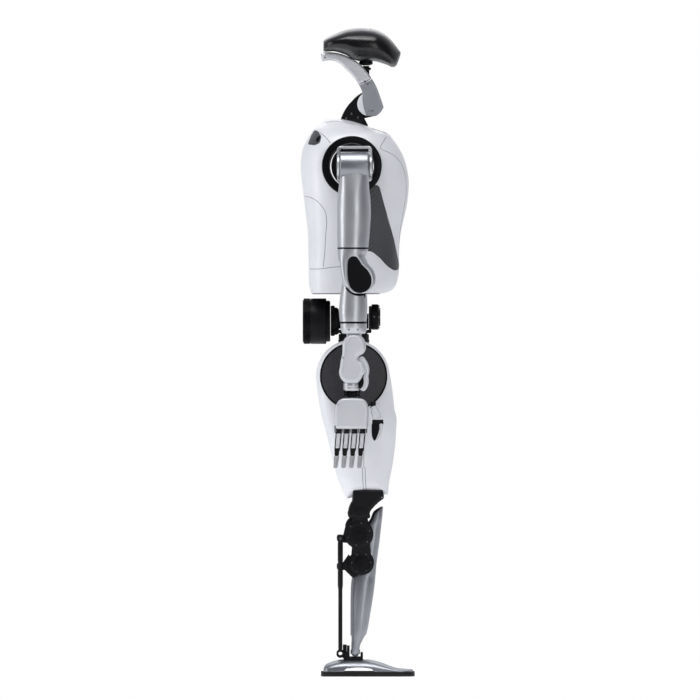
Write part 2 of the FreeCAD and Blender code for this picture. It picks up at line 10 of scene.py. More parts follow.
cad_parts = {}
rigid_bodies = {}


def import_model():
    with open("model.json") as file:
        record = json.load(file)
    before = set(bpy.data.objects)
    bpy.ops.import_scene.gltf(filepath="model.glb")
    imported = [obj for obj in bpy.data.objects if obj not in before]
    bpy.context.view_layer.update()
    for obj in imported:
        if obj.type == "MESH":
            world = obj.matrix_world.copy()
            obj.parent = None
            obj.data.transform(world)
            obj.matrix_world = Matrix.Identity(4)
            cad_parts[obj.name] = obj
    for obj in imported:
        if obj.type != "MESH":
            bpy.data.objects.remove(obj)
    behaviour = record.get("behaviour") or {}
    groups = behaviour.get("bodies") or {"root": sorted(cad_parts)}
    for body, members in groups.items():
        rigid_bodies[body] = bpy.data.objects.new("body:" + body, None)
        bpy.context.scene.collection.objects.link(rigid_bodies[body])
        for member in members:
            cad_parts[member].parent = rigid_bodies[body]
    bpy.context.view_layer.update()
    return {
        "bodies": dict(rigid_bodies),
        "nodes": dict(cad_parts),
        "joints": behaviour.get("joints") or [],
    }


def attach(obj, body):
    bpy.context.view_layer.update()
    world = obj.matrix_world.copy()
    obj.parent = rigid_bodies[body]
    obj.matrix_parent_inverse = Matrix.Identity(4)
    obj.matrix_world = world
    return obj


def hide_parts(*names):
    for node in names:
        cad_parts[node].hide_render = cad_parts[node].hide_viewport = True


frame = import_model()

# Everything is built in millimetres in the row's frame and scaled to metres when a mesh is
# made. Right-hand pieces (y below zero) are drawn; left-hand ones are their mirror images.
MM = 0.001
joint_at = {j["name"]: Vector(j["pos_m"]) / MM for j in frame["joints"] if "pos_m" in j}


# ---------------------------------------------------------------- materials

def new_material(name, color, roughness, metallic=0.0, coat=0.0, specular=0.5):
    """A material with its shader, ready for the nodes that vary it."""
    made = bpy.data.materials.new(name)
    made.use_nodes = True
    shader = made.node_tree.nodes["Principled BSDF"]
    shader.inputs["Base Color"].default_value = (*color, 1)
    shader.inputs["Roughness"].default_value = roughness
    shader.inputs["Metallic"].default_value = metallic
    shader.inputs["Coat Weight"].default_value = coat
    shader.inputs["Coat Roughness"].default_value = 0.28
    shader.inputs["Specular IOR Level"].default_value = specular
    return made, made.node_tree, shader


def place_of(tree, stretch=(1, 1, 1)):
    """Object coordinates in metres, scaled per axis."""
    where = tree.nodes.new("ShaderNodeTexCoord")
    scale = tree.nodes.new("ShaderNodeMapping")
    scale.inputs["Scale"].default_value = stretch
    tree.links.new(where.outputs["Object"], scale.inputs["Vector"])
    return scale.outputs["Vector"]


def noise(tree, place, scale, detail=3.0):
    made = tree.nodes.new("ShaderNodeTexNoise")
    made.inputs["Scale"].default_value = scale
    made.inputs["Detail"].default_value = detail
    tree.links.new(place, made.inputs["Vector"])
    return made.outputs["Fac"]


def ramp(tree, factor, low, high, start=0.3, end=0.7):
    """Colours (or greys) between low and high as the factor rises."""
    made = tree.nodes.new("ShaderNodeValToRGB")
    for element, position, shade in zip(made.color_ramp.elements, (start, end), (low, high)):
        element.position = position
        element.color = (*shade, 1) if isinstance(shade, tuple) else (shade, shade, shade, 1)
    tree.links.new(factor, made.inputs["Fac"])
    return made.outputs["Color"]


def bump(tree, shader, height, strength, distance):
    made = tree.nodes.new("ShaderNodeBump")
    made.inputs["Strength"].default_value = strength
    made.inputs["Distance"].default_value = distance
    tree.links.new(height, made.inputs["Height"])
    tree.links.new(made.outputs["Normal"], shader.inputs["Normal"])


def varied(name, dark, light, roughness, spread, metallic=0.0, coat=0.0, grain=900,
           grain_strength=0.06, stretch=(1, 1, 1), specular=0.5):
    """A moulded, painted or machined finish: cloudy colour, uneven gloss and fine grain."""
    made, tree, shader = new_material(name, light, roughness, metallic, coat, specular)
    place = place_of(tree)
    clouds = noise(tree, place, 9, 4)
    tree.links.new(ramp(tree, clouds, dark, light), shader.inputs["Base Color"])
    smudges = noise(tree, place, 23, 5)
    tree.links.new(ramp(tree, smudges, roughness - spread, roughness + spread),
                   shader.inputs["Roughness"])
    bump(tree, shader, noise(tree, place_of(tree, stretch), grain, 2), grain_strength, 0.0004)
    return made


def woven(name):
    """Plain-woven cloth under clear resin, seen across the XZ plane."""
    made, tree, shader = new_material(name, (0.03, 0.03, 0.033), 0.4, 0.0, 0.1, 0.25)
    place = place_of(tree)
    parts = tree.nodes.new("ShaderNodeSeparateXYZ")
    tree.links.new(place, parts.inputs["Vector"])
    tow = 300.0

    def math(kind, first, second=None):
        step = tree.nodes.new("ShaderNodeMath")
        step.operation = kind
        for socket, value in zip(step.inputs, (first, second)):
            if isinstance(value, (int, float)):
                socket.default_value = value
            elif value is not None:
                tree.links.new(value, socket)
        return step.outputs["Value"]

    across = math("MULTIPLY", parts.outputs["X"], tow)
    up = math("MULTIPLY", parts.outputs["Z"], tow)
    cell = math("ADD", math("FLOOR", across), math("FLOOR", up))
    over = math("LESS_THAN", math("FLOORED_MODULO", cell, 2), 0.5)
    round_across = math("SINE", math("MULTIPLY", math("FRACT", across), pi))
    round_up = math("SINE", math("MULTIPLY", math("FRACT", up), pi))
    blend = tree.nodes.new("ShaderNodeMix")
    blend.data_type = "FLOAT"
    tree.links.new(over, blend.inputs["Factor"])
    tree.links.new(round_across, blend.inputs["A"])
    tree.links.new(round_up, blend.inputs["B"])
    height = blend.outputs["Result"]
    # The real weave pattern, with the over-tows and each tow's rounded crest painted lighter as sheen, and
    # the tow edges darker as painted shade.
    weave_and_painted_sheen = math("ADD", math("MULTIPLY", over, 0.45), math("MULTIPLY", height, 0.45))
    tree.links.new(ramp(tree, weave_and_painted_sheen, (0.004, 0.004, 0.005), (0.075, 0.073, 0.082), 0.15, 0.9),
                   shader.inputs["Base Color"])
    bump(tree, shader, height, 0.5, 0.0006)
    return made


def dotted(name):
    """Dark moulded plastic with a fine pattern of raised cells."""
    made, tree, shader = new_material(name, (0.06, 0.062, 0.068), 0.45, 0.0, 0.0, 0.3)
    place = place_of(tree)
    cells = tree.nodes.new("ShaderNodeTexVoronoi")
    cells.inputs["Scale"].default_value = 420
    cells.inputs["Randomness"].default_value = 0.15
    tree.links.new(place, cells.inputs["Vector"])
    height = cells.outputs["Distance"]
    tree.links.new(ramp(tree, height, (0.085, 0.087, 0.095), (0.045, 0.046, 0.052), 0.1, 0.6),
                   shader.inputs["Base Color"])
    bump(tree, shader, height, 0.35, 0.0008)
    return made


WHITE = varied("white_shell", (0.69, 0.70, 0.735), (0.74, 0.75, 0.785), 0.36, 0.04, coat=0.2,
               grain=700, grain_strength=0.02, specular=0.4)
SILVER = varied("silver_metal", (0.50, 0.51, 0.535), (0.55, 0.56, 0.585), 0.40, 0.03,
                metallic=0.9, grain=500, grain_strength=0.012, stretch=(1, 1, 0.05))
SATIN = varied("satin_silver", (0.52, 0.53, 0.56), (0.57, 0.58, 0.61), 0.42, 0.03,
               metallic=0.35, grain=700, grain_strength=0.02)
PALE = varied("silver_paint", (0.60, 0.61, 0.64), (0.66, 0.67, 0.70), 0.36, 0.03,
              metallic=0.4, coat=0.15, grain=800, grain_strength=0.015)
# A darker copy of silver_metal, used on the arm heads, calves and feet as painted shade.
SILVER_PAINTED_SHADE = varied("silver_metal_painted_shade", (0.25, 0.26, 0.285), (0.31, 0.32, 0.345), 0.36, 0.03,
             metallic=0.9, grain=500, grain_strength=0.012, stretch=(1, 1, 0.05))
# A darker copy of the silver paint, on a cast grain, for the neck's lower cheeks, bridge and plugs: painted
# shade standing in for the arc's darker lower part.
CAST_PAINTED_SHADE = varied("neck_casting_painted_shade", (0.30, 0.31, 0.34), (0.37, 0.38, 0.41), 0.42, 0.04, metallic=0.5,
              grain=1300, grain_strength=0.1)
BLACK = varied("black_metal", (0.002, 0.002, 0.003), (0.006, 0.006, 0.007), 0.46, 0.07,
               grain=1100, grain_strength=0.12, specular=0.16)
PLASTIC = varied("black_plastic", (0.001, 0.001, 0.002), (0.004, 0.004, 0.005), 0.42, 0.05,
                 grain=900, grain_strength=0.05, specular=0.12)
GLOSS = varied("visor", (0.001, 0.001, 0.002), (0.002, 0.002, 0.003), 0.27, 0.03,
               grain=300, grain_strength=0.003, specular=0.45)
TIP = varied("fingertip", (0.30, 0.305, 0.32), (0.38, 0.385, 0.40), 0.5, 0.06, grain=1500,
             grain_strength=0.2, metallic=0.3)
RUBBER = varied("sole_rubber", (0.004, 0.004, 0.005), (0.010, 0.010, 0.011), 0.5, 0.08,
                grain=1300, grain_strength=0.25, specular=0.3)
STEEL = varied("bolt_steel", (0.10, 0.10, 0.11), (0.26, 0.26, 0.28), 0.34, 0.08, metallic=0.9,
               grain=2000, grain_strength=0.1)
SEAM = varied("seam_shadow", (0.02, 0.02, 0.022), (0.05, 0.05, 0.055), 0.7, 0.1,
              grain=1500, grain_strength=0.1)
GREY = varied("battery", (0.04, 0.04, 0.045), (0.07, 0.07, 0.075), 0.5, 0.06)
CARBON = woven("carbon")
PANEL = dotted("dark_panel")


# ---------------------------------------------------------------- outlines

def arc_points(start, middle, end, step):
    """Points along the arc from start through middle to end, without start."""
    (ax, ay), (bx, by), (cx, cy) = start, middle, end
    d = 2 * (ax * (by - cy) + bx * (cy - ay) + cx * (ay - by))
    a2, b2, c2 = ax * ax + ay * ay, bx * bx + by * by, cx * cx + cy * cy
    ox = (a2 * (by - cy) + b2 * (cy - ay) + c2 * (ay - by)) / d
    oy = (a2 * (cx - bx) + b2 * (ax - cx) + c2 * (bx - ax)) / d
    radius = sqrt((ax - ox) ** 2 + (ay - oy) ** 2)
    first = atan2(ay - oy, ax - ox)
    to_middle = (atan2(by - oy, bx - ox) - first) % tau
    to_end = (atan2(cy - oy, cx - ox) - first) % tau
    sweep = to_end if to_middle < to_end else to_end - tau
    count = max(3, int(abs(sweep) * radius / step))
    return [(ox + radius * cos(first + sweep * k / count),
             oy + radius * sin(first + sweep * k / count)) for k in range(1, count + 1)]


def trace(start, steps, step=2.5):
    """A closed outline. A step is a corner (x, z), or an arc (x, z through, x, z to)."""
    points = [start]
    for item in list(steps) + [start]:
        here = points[-1]
        there = item[-2:]
        if len(item) == 2:
            length = sqrt((there[0] - here[0]) ** 2 + (there[1] - here[1]) ** 2)
            count = max(1, int(length / step))
            points += [(here[0] + (there[0] - here[0]) * k / count,
                        here[1] + (there[1] - here[1]) * k / count) for k in range(1, count + 1)]
        else:
            points += arc_points(here, item[:2], there, step)
    return points[:-1]


def smooth_loop(points):
    """A closed curve through the points."""
    made = []
    total = len(points)
    for k in range(total):
        p0, p1, p2, p3 = (Vector(points[(k + i) % total]) for i in (-1, 0, 1, 2))
        count = max(2, int((p2 - p1).length / LOOP_STEP))
        for i in range(count):
            t = i / count
            at = 0.5 * (2 * p1 + (p2 - p0) * t + (2 * p0 - 5 * p1 + 4 * p2 - p3) * t * t
                        + (3 * p1 - p0 - 3 * p2 + p3) * t ** 3)
            made.append((at.x, at.y))
    return made


def disc_outline(x, z, radius, count=48):
    return [(x + radius * cos(tau * k / count), z + radius * sin(tau * k / count))
            for k in range(count)]


def rounded_corners(points, radius, parts=4):
    """The outline with each corner replaced by a short curve."""
    made = []
    total = len(points)
    for k, (x, z) in enumerate(points):
        here = Vector((x, z))
        before = Vector(points[k - 1]) - here
        after = Vector(points[(k + 1) % total]) - here
        reach = min(radius, before.length * 0.45, after.length * 0.45)
        a = here + before.normalized() * reach
        b = here + after.normalized() * reach
        for i in range(parts + 1):
            u = i / parts
            point = a * (1 - u) ** 2 + here * 2 * u * (1 - u) + b * u ** 2
            made.append((point.x, point.y))
    return made


def inside(loop, points):
    """Which of the points lie inside the loop."""
    loop = np.asarray(loop)
    x, z = points[:, 0], points[:, 1]
    hit = np.zeros(len(points), bool)
    for (x1, z1), (x2, z2) in zip(loop, np.roll(loop, -1, axis=0)):
        if z1 == z2:
            continue
        crosses = (z1 > z) != (z2 > z)
        hit ^= crosses & (x < (x2 - x1) * (z - z1) / (z2 - z1) + x1)
    return hit


def distance_to(loops, points):
    """Each point's distance to the nearest edge of the loops."""
    best = np.full(len(points), 1e9)
    for loop in loops:
        loop = np.asarray(loop, float)
        for a, b in zip(loop, np.roll(loop, -1, axis=0)):
            ab = b - a
            along = np.clip(((points - a) @ ab) / max(ab @ ab, 1e-12), 0, 1)
            gap = np.linalg.norm(points - (a + along[:, None] * ab), axis=1)
            best = np.minimum(best, gap)
    return best


# ---------------------------------------------------------------- meshes

def blank_mesh(name, verts, faces):
    mesh = bpy.data.meshes.new(name)
    mesh.from_pydata([tuple(float(c) * MM for c in v) for v in verts], [], faces)
    bm = bmesh.new()
    bm.from_mesh(mesh)
    bmesh.ops.remove_doubles(bm, verts=bm.verts, dist=1e-6)
    bmesh.ops.recalc_face_normals(bm, faces=bm.faces)
    bm.to_mesh(mesh)
    bm.free()
    return mesh


# Angles round an edge, in degrees, at which a pillow has a row of points.
ROUNDING_TURNS = (22, 42, 60, 76, 90)
# Step in mm along a smoothed curve, and the facets across a block's rounded edge.
LOOP_STEP = 2.0
BLOCK_SEGMENTS = 3


def pillow(outline, y_mid, half, edge, grid=6.0):
    """A solid with a side outline, both faces rounded over to it with radius edge."""
    edge = min(edge, half)
    points = [tuple(p) for p in outline]
    count = len(points)
    constraints = [(k, (k + 1) % count) for k in range(count)]
    loop = np.asarray(outline, float)
    ahead = np.roll(loop, -1, axis=0) - np.roll(loop, 1, axis=0)
    normal = np.stack([-ahead[:, 1], ahead[:, 0]], axis=1)
    normal /= np.maximum(np.linalg.norm(normal, axis=1), 1e-9)[:, None]
    extra = []
    for turn in ROUNDING_TURNS:
        depth = edge * (1 - cos(radians(turn)))
        extra += [loop + normal * depth * way for way in (1, -1)]
    extra = np.concatenate(extra)
    ox, oz = np.asarray(outline).min(0)
    px, pz = np.asarray(outline).max(0)
    gx, gz = np.meshgrid(np.arange(ox + 1.3, px, grid), np.arange(oz + 1.1, pz, grid))
    extra = np.concatenate([extra, np.stack([gx.ravel(), gz.ravel()], axis=1)])
    extra = extra[inside(outline, extra)]
    far = distance_to([outline], extra)
    rings = edge * (1 - np.cos(np.radians(ROUNDING_TURNS)))
    near_ring = np.abs(far[:, None] - rings[None, :]).min(1) < 0.02
    extra = extra[near_ring | (far > edge + 1.0)]
    kept = []
    seen = set()
    for p in extra:
        key = (round(p[0] / 0.9), round(p[1] / 0.9))
        if key not in seen:
            seen.add(key)
            kept.append((float(p[0]), float(p[1])))
    result = delaunay_2d_cdt([Vector(p) for p in points + kept], constraints, [], 0, 1e-4)
    flat = np.array([tuple(v) for v in result[0]])
    faces = [f for f in result[2]]
    centres = np.array([flat[list(f)].mean(0) for f in faces])
    good = inside(outline, centres)
    faces = [f for f, g in zip(faces, good) if g]
    far = distance_to([outline], flat)
    near = np.clip(far, 0, edge)
    rise = half - edge + np.sqrt(np.maximum(edge ** 2 - (edge - near) ** 2, 0))
    count = len(flat)
    verts = [(x, y_mid - r, z) for (x, z), r in zip(flat, rise)]
    verts += [(x, y_mid + r, z) for (x, z), r in zip(flat, rise)]
    both = [tuple(f) for f in faces] + [tuple(i + count for i in reversed(f)) for f in faces]
    edges = {}
    for f in faces:
        for a, b in zip(f, f[1:] + f[:1]):
            edges[(a, b)] = edges.get((a, b), 0) + 1
    for (a, b) in edges:
        if (b, a) not in edges:
            both.append((b, a, a + count, b + count))
    return blank_mesh("pillow", verts, both)


def loft(rings, closed_ends=True):
    """A skin over rings of equal length. Each end is closed by a face."""
    count = len(rings[0])
    verts = [tuple(p) for ring in rings for p in ring]
    faces = []
    for r in range(len(rings) - 1):
        for k in range(count):
            nxt = (k + 1) % count
            faces.append((r * count + k, r * count + nxt, (r + 1) * count + nxt, (r + 1) * count + k))
    if closed_ends:
        faces.append(tuple(range(count)))
        faces.append(tuple(range((len(rings) - 1) * count, len(rings) * count)))
    return blank_mesh("loft", verts, faces)


def oval(a, b, power, count=64):
    """Points around a superellipse with half sizes a and b."""
    made = []
    for k in range(count):
        c, s = cos(tau * k / count), sin(tau * k / count)
        made.append((a * abs(c) ** (2 / power) * (1 if c >= 0 else -1),
                     b * abs(s) ** (2 / power) * (1 if s >= 0 else -1)))
    return made


def between(table, at):
    """Smooth values between the rows of a table whose first column rises."""
    table = np.asarray(table, float)
    keys = table[:, 0]
    if at <= keys[0]:
        return table[0, 1:]
    if at >= keys[-1]:
        return table[-1, 1:]
    k = int(np.searchsorted(keys, at)) - 1
    k = max(0, min(k, len(keys) - 2))
    u = (at - keys[k]) / (keys[k + 1] - keys[k])
    before = table[max(k - 1, 0)]
    p0, p1 = table[k], table[k + 1]
    after = table[min(k + 2, len(keys) - 1)]
    span = p1[0] - p0[0]
    m0 = (p1 - before)[1:] / max(p1[0] - before[0], 1e-9) * span
    m1 = (after - p0)[1:] / max(after[0] - p0[0], 1e-9) * span
    h = (2 * u**3 - 3 * u**2 + 1, u**3 - 2 * u**2 + u, -2 * u**3 + 3 * u**2, u**3 - u**2)
    return h[0] * p0[1:] + h[1] * m0 + h[2] * p1[1:] + h[3] * m1


def limb(table, y_mid, levels, count=64):
    """An upright skin. Table rows: z, back, front, half width, power."""
    rings = []
    for z in levels:
        back, front, half, power = between(table, z)
        rings.append([(x + (back + front) / 2, y + y_mid, z)
                      for x, y in oval((front - back) / 2, half, power, count)])
    return loft(rings)


def on_axis(axis, along, u, v):
    """The offset that lies a distance along an axis, and u and v across it."""
    return Vector({"x": (along, u, v), "y": (u, along, v), "z": (u, v, along)}[axis])


def lathe(profile, axis, centre, count=96):
    """A turned solid. The profile's points are (radius, distance along the axis)."""
    centre = Vector(centre)
    rings = []
    for radius, along in profile:
        ring = []
        for k in range(count):
            u, v = radius * cos(tau * k / count), radius * sin(tau * k / count)
            ring.append(tuple(centre + on_axis(axis, along, u, v)))
        rings.append(ring)
    return loft(rings)


def tube(points, radius, count=10):
    """A round bar along a line of points."""
    points = [Vector(p) for p in points]
    rings = []
    for k, point in enumerate(points):
        ahead = points[k + 1] if k + 1 < len(points) else point
        behind = points[k - 1] if k else point
        way = (ahead - behind).normalized()
        side = way.cross(Vector((0, 1, 0)))
        if side.length < 0.1:
            side = way.cross(Vector((1, 0, 0)))
        side.normalize()
        other = way.cross(side)
        rings.append([point + side * radius * cos(tau * i / count) + other * radius * sin(tau * i / count)
                      for i in range(count)])
    return loft(rings)


def block(low, high, edge):
    """A box with rounded edges."""
    mesh = bpy.data.meshes.new("block")
    bm = bmesh.new()
    bmesh.ops.create_cube(bm, size=1)
    low, high = Vector(low), Vector(high)
    for v in bm.verts:
        v.co = Vector([(low[i] + high[i]) / 2 + v.co[i] * (high[i] - low[i]) for i in range(3)]) * MM
    bmesh.ops.bevel(bm, geom=list(bm.edges), offset=edge * MM, segments=BLOCK_SEGMENTS, profile=0.5,
                    affect="EDGES", clamp_overlap=True)
    bm.to_mesh(mesh)
    bm.free()
    return mesh


def joined(*meshes):
    """One mesh from several."""
    bm = bmesh.new()
    for mesh in meshes:
        bm.from_mesh(mesh)
    made = bpy.data.meshes.new("joined")
    bm.to_mesh(made)
    bm.free()
    return made


def mirrored(mesh):
    """The left-hand copy of a right-hand mesh."""
    made = mesh.copy()
    made.transform(Matrix.Diagonal((1, -1, 1, 1)))
    made.flip_normals()
    return made


pieces = {}


def add(name, mesh, body, material, replaces=(), sharp=32):
    """Puts a piece on a body. A name that starts with right_ gets its left-hand mirror too."""
    sides = [("", mesh)]
    if name.startswith("right_"):
        sides = [("right_", mesh), ("left_", mirrored(mesh))]
    for side, data in sides:
        own = side + name[6:] if side else name
        data.name = own
        data.shade_smooth()
        data.set_sharp_from_angle(angle=radians(sharp))
        piece = bpy.data.objects.new(own, data)
        bpy.context.scene.collection.objects.link(piece)
        data.materials.clear()
        data.materials.append(material)
        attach(piece, side + body if side + body in frame["bodies"] else body)
        for node in replaces:
            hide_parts(side + node if side + node in frame["nodes"] else node)
        pieces[own] = piece


def surface(mesh):
    """A mesh's surface for laying seams and trim on, in millimetres."""
    verts = [v.co / MM for v in mesh.vertices]
    return BVHTree.FromPolygons(verts, [tuple(p.vertices) for p in mesh.polygons])


def on_side(tree, x, z, sink=0.0, way=1):
    """The point of a surface seen from the right (way 1) or left at x, z, sunk into it."""
    hit = tree.ray_cast(Vector((x, -1000 * way, z)), Vector((0, way, 0)))
    if hit[0] is None:
        hit = tree.find_nearest(Vector((x, -20 * way, z)))
    return hit[0] - hit[1] * sink


def seam(name, base, body, path, radius=0.8, smooth=True):
    """A dark joint line laid along a piece, following a path seen from the side."""
    tree = base if isinstance(base, BVHTree) else surface(pieces[base].data)
    steps = []
    for (x1, z1), (x2, z2) in zip(path, path[1:]):
        count = max(2, int(sqrt((x2 - x1) ** 2 + (z2 - z1) ** 2) / 3))
        steps += [(x1 + (x2 - x1) * k / count, z1 + (z2 - z1) * k / count) for k in range(count)]
    steps.append(path[-1])
    if smooth:
        for _ in range(4):
            steps = [steps[0]] + [((a[0] + 2 * b[0] + c[0]) / 4, (a[1] + 2 * b[1] + c[1]) / 4)
                                  for a, b, c in zip(steps, steps[1:], steps[2:])] + [steps[-1]]
    line = [on_side(tree, x, z, radius * 0.45) for x, z in steps]
    add(name, tube(line, radius, 8), body, SEAM, sharp=60)


def patch(outline, tree, lift, thick, grid=5.0):
    """A thin cover laid on a surface, with a side outline."""
    points = [tuple(p) for p in outline]
    count = len(points)
    constraints = [(k, (k + 1) % count) for k in range(count)]
    low, high = np.asarray(outline).min(0), np.asarray(outline).max(0)
    gx, gz = np.meshgrid(np.arange(low[0], high[0], grid), np.arange(low[1], high[1], grid))
    extra = np.stack([gx.ravel(), gz.ravel()], axis=1)
    extra = extra[inside(outline, extra)]
    extra = extra[distance_to([outline], extra) > 1.5]
    result = delaunay_2d_cdt([Vector(p) for p in points] + [Vector(p) for p in extra],
                             constraints, [], 0, 1e-4)
    flat = [tuple(v) for v in result[0]]
    faces = result[2]
    centres = np.array([np.mean([flat[i] for i in f], axis=0) for f in faces])
    faces = [f for f, g in zip(faces, inside(outline, centres)) if g]
    top = [on_side(tree, x, z, -lift) for x, z in flat]
    bottom = [on_side(tree, x, z, thick - lift) for x, z in flat]
    size = len(flat)
    skin = [tuple(f) for f in faces] + [tuple(i + size for i in reversed(f)) for f in faces]
    edges = {(a, b) for f in faces for a, b in zip(f, f[1:] + f[:1])}
    skin += [(b, a, a + size, b + size) for a, b in edges if (b, a) not in edges]
    return blank_mesh("patch", top + bottom, skin)


def screw(x, y, z, radius, way=-1, axis="y"):
    """A socket screw's head, facing along an axis."""
    depth = radius * 0.7
    profile = [(0.01, 0), (radius * 0.5, 0), (radius * 0.5, depth * 0.75), (radius * 0.86, depth),
               (radius, depth * 0.75), (radius, -depth)]
    profile = [(r, way * a) for r, a in profile]
    return lathe(profile, axis, (x, y, z), 18)


def carved(mesh, *cutters):
    """The mesh with the cutters' volumes taken out of it."""
    whole = bpy.data.objects.new("whole", mesh)
    bpy.context.scene.collection.objects.link(whole)
    tools = []
    for cutter in cutters:
        tool = bpy.data.objects.new("tool", cutter)
        bpy.context.scene.collection.objects.link(tool)
        tools.append(tool)
        modifier = whole.modifiers.new("Cut", "BOOLEAN")
        modifier.operation = "DIFFERENCE"
        modifier.solver = "EXACT"
        modifier.object = tool
    bpy.context.view_layer.update()
    made = bpy.data.meshes.new_from_object(whole.evaluated_get(bpy.context.evaluated_depsgraph_get()))
    for item in [whole, *tools]:
        bpy.data.objects.remove(item)
    return made


def toothed(radius, depth, teeth, low, high, axis, centre):
    """A round body with square teeth around it."""
    count = teeth * 4
    rings = []
    for along in (low, low + 0.8, high - 0.8, high):
        chamfer = 0.8 if along in (low, high) else 0
        ring = []
        for k in range(count):
            r = radius - chamfer - (depth if (k // 2) % 2 else 0)
            u, v = r * cos(tau * k / count), r * sin(tau * k / count)
            ring.append(tuple(Vector(centre) + on_axis(axis, along, u, v)))
        rings.append(ring)
    return loft(rings)


def ring_lathe(profile, axis, centre):
    """A turned ring: its profile is a closed loop that doesn't reach the axis."""
    centre = Vector(centre)
    rings = []
    for radius, along in profile + profile[:1]:
        rings.append([tuple(centre + on_axis(axis, along, u, v))
                      for u, v in disc_outline(0, 0, radius, 96)])
    return loft(rings, False)


def levels(low, high, gap):
    count = max(2, round((high - low) / gap))
    return [low + (high - low) * k / count for k in range(count + 1)]


def turned_mesh(mesh, degrees, axis, centre):
    """The mesh turned about an axis through a point."""
    centre = Vector(centre) * MM
    mesh.transform(Matrix.Translation(centre) @ Matrix.Rotation(radians(degrees), 4, axis)
                   @ Matrix.Translation(-centre))
    return mesh


def screws(name, body, spots, radius, side_y):
    """Socket screws whose heads face the robot's right side."""
    add(name, joined(*[screw(x, side_y, z, radius) for x, z in spots]), body, STEEL, sharp=40)


# ---------------------------------------------------------------- waist and pelvis

add("pelvis_block", joined(
    block((-50, -40, 822), (30, 40, 873), 7),
    block((-41, -19, 745), (20, 19, 826), 8),
    lathe([(26, 872), (38, 873), (40, 875), (40, 899), (38, 901.5), (20, 902)], "z", (-10, 0, 0)),
    ring_lathe([(40, 880), (41.2, 881), (41.2, 885), (40, 886)], "z", (-10, 0, 0)),
), "pelvis", BLACK, replaces=["pelvis_frame"])
add("pelvis_bolts", joined(*[
    screw(-10 + 32 * cos(tau * k / 8), 32 * sin(tau * k / 8), 901.6, 2.6, 1, "z") for k in range(8)
]), "pelvis", STEEL, sharp=40)

add("waist_motor", joined(
    toothed(60, 2.2, 90, -142, -125, "x", (0, 0, 935)),
    lathe([(52, -141), (58.4, -126), (58.4, -124), (60, -122.5), (60, -84), (58.5, -82.5),
           (54, -82), (54, -75), (52, -72)], "x", (0, 0, 935)),
    ring_lathe([(56, -142), (56, -144.5), (40, -144.5), (40, -142)], "x", (0, 0, 935)),
), "waist_yoke", BLACK, replaces=["waist_roll_motor"])
add("waist_motor_band", ring_lathe([(60.2, -103.2), (60.2, -101.8), (59, -101.8), (59, -103.2)],
                                   "x", (0, 0, 935)), "waist_yoke", PLASTIC)
add("waist_carrier", joined(
    lathe([(33, 902.6), (37.4, 903), (38, 904), (38, 911), (37, 912.5)], "z", (-10, 0, 0)),
    block((-71, -30, 896), (-60, 30, 976), 3),
    lathe([(34, -71), (36, -69), (36, -56), (33, -50), (26, -49)], "x", (0, 0, 935)),
    block((-70, -30, 903.6), (-10, 30, 912.4), 2),
    block((-4, -27, 903.6), (36, 27, 912.4), 2),
    block((29.5, -27, 904), (36.5, 27, 975), 2.5),
    lathe([(31, 36.4), (33, 37.6), (33.6, 39), (33.6, 53), (32, 55.5), (26, 56.6), (24, 57), (24, 59),
           (22, 60)], "x", (0, 0, 946)),
), "waist_yoke", BLACK, replaces=["waist_yoke"])
add("waist_bolts", joined(*[
    screw(56.6, 28.5 * cos(tau * k / 8), 946 + 28.5 * sin(tau * k / 8), 2.2, 1, "x")
    for k in range(8)
], *[screw(44, way * 33.2, 946 + 0, 2.4, way) for way in (-1, 1)]), "waist_yoke", STEEL, sharp=40)

# ---------------------------------------------------------------- torso

TORSO = [
    (1008.3, -122.5, 66, 103, 3.4), (1012, -123.6, 80, 105, 3.4), (1018, -125, 91.5, 107, 3.3),
    (1028, -127, 99.5, 109, 3.2), (1039, -128.3, 104, 111, 3.2), (1065, -129, 109, 115, 3.1),
    (1121, -129.6, 109, 121, 3), (1169, -131, 114, 130, 3), (1239, -139, 129.5, 146, 2.9),
    (1282, -144, 134.5, 153, 2.8), (1306, -147, 134.8, 156, 2.7), (1330, -149.4, 131.5, 157, 2.7),
    (1363, -148.6, 122.8, 156, 2.7), (1391, -143.6, 109, 149, 2.6), (1416, -131.5, 91.5, 137, 2.6),
    (1431, -122.6, 77.5, 124, 2.6), (1441, -115.5, 46, 108, 2.6), (1448, -106, 28, 94, 2.5),
    (1456, -94, 6, 78, 2.5), (1463, -86, -18, 60, 2.4), (1468, -79, -46, 38, 2.3),
]
torso_levels = (levels(1008.3, 1030, 2.5)[:-1] + levels(1030, 1420, 7)[:-1]
                + levels(1420, 1468, 2.4))


def torso_ring(z, inset):
    back, front, half, power = between(TORSO, z)
    middle = (back + front) / 2
    return [(x + middle, y, z) for x, y in oval((front - back) / 2 - inset, half - inset, power, 112)]


torso_rings = [torso_ring(z, 4.5) for z in reversed(levels(1008.3, 1436, 12))]
torso_rings += [torso_ring(1007.9, inset) for inset in (3.6, 1.6)]
torso_rings += [torso_ring(z, 0) for z in torso_levels]
shoulder = joint_at["right_shoulder_pitch"]
torso_whole = loft(torso_rings)
torso_tree = surface(torso_whole)
torso_skin = carved(torso_whole, *[
    lathe([(79.2, way * 138), (79.2, way * 220)], "y", (shoulder.x, 0, shoulder.z), 96)
    for way in (-1, 1)
])
add("torso_skin", torso_skin, "torso", WHITE, replaces=["chest_shell", "back_shell"], sharp=50)
PANEL_EDGE = rounded_corners(
    [(-40, 1262), (30, 1292), (56, 1292), (66, 1254), (95.5, 1149), (109, 1084), (106.5, 1070),
     (95, 1069.5), (79, 1079.5), (59, 1102), (38, 1119), (-10, 1124), (-40, 1160)], 9)
add("right_side_panel", patch(PANEL_EDGE, torso_tree, 0.9, 3), "torso", PANEL,
    replaces=["side_panels"], sharp=40)
PANEL_LINE = PANEL_EDGE + PANEL_EDGE[:1]
seam("right_panel_gap", torso_tree, "torso", PANEL_LINE, 1.0, smooth=False)

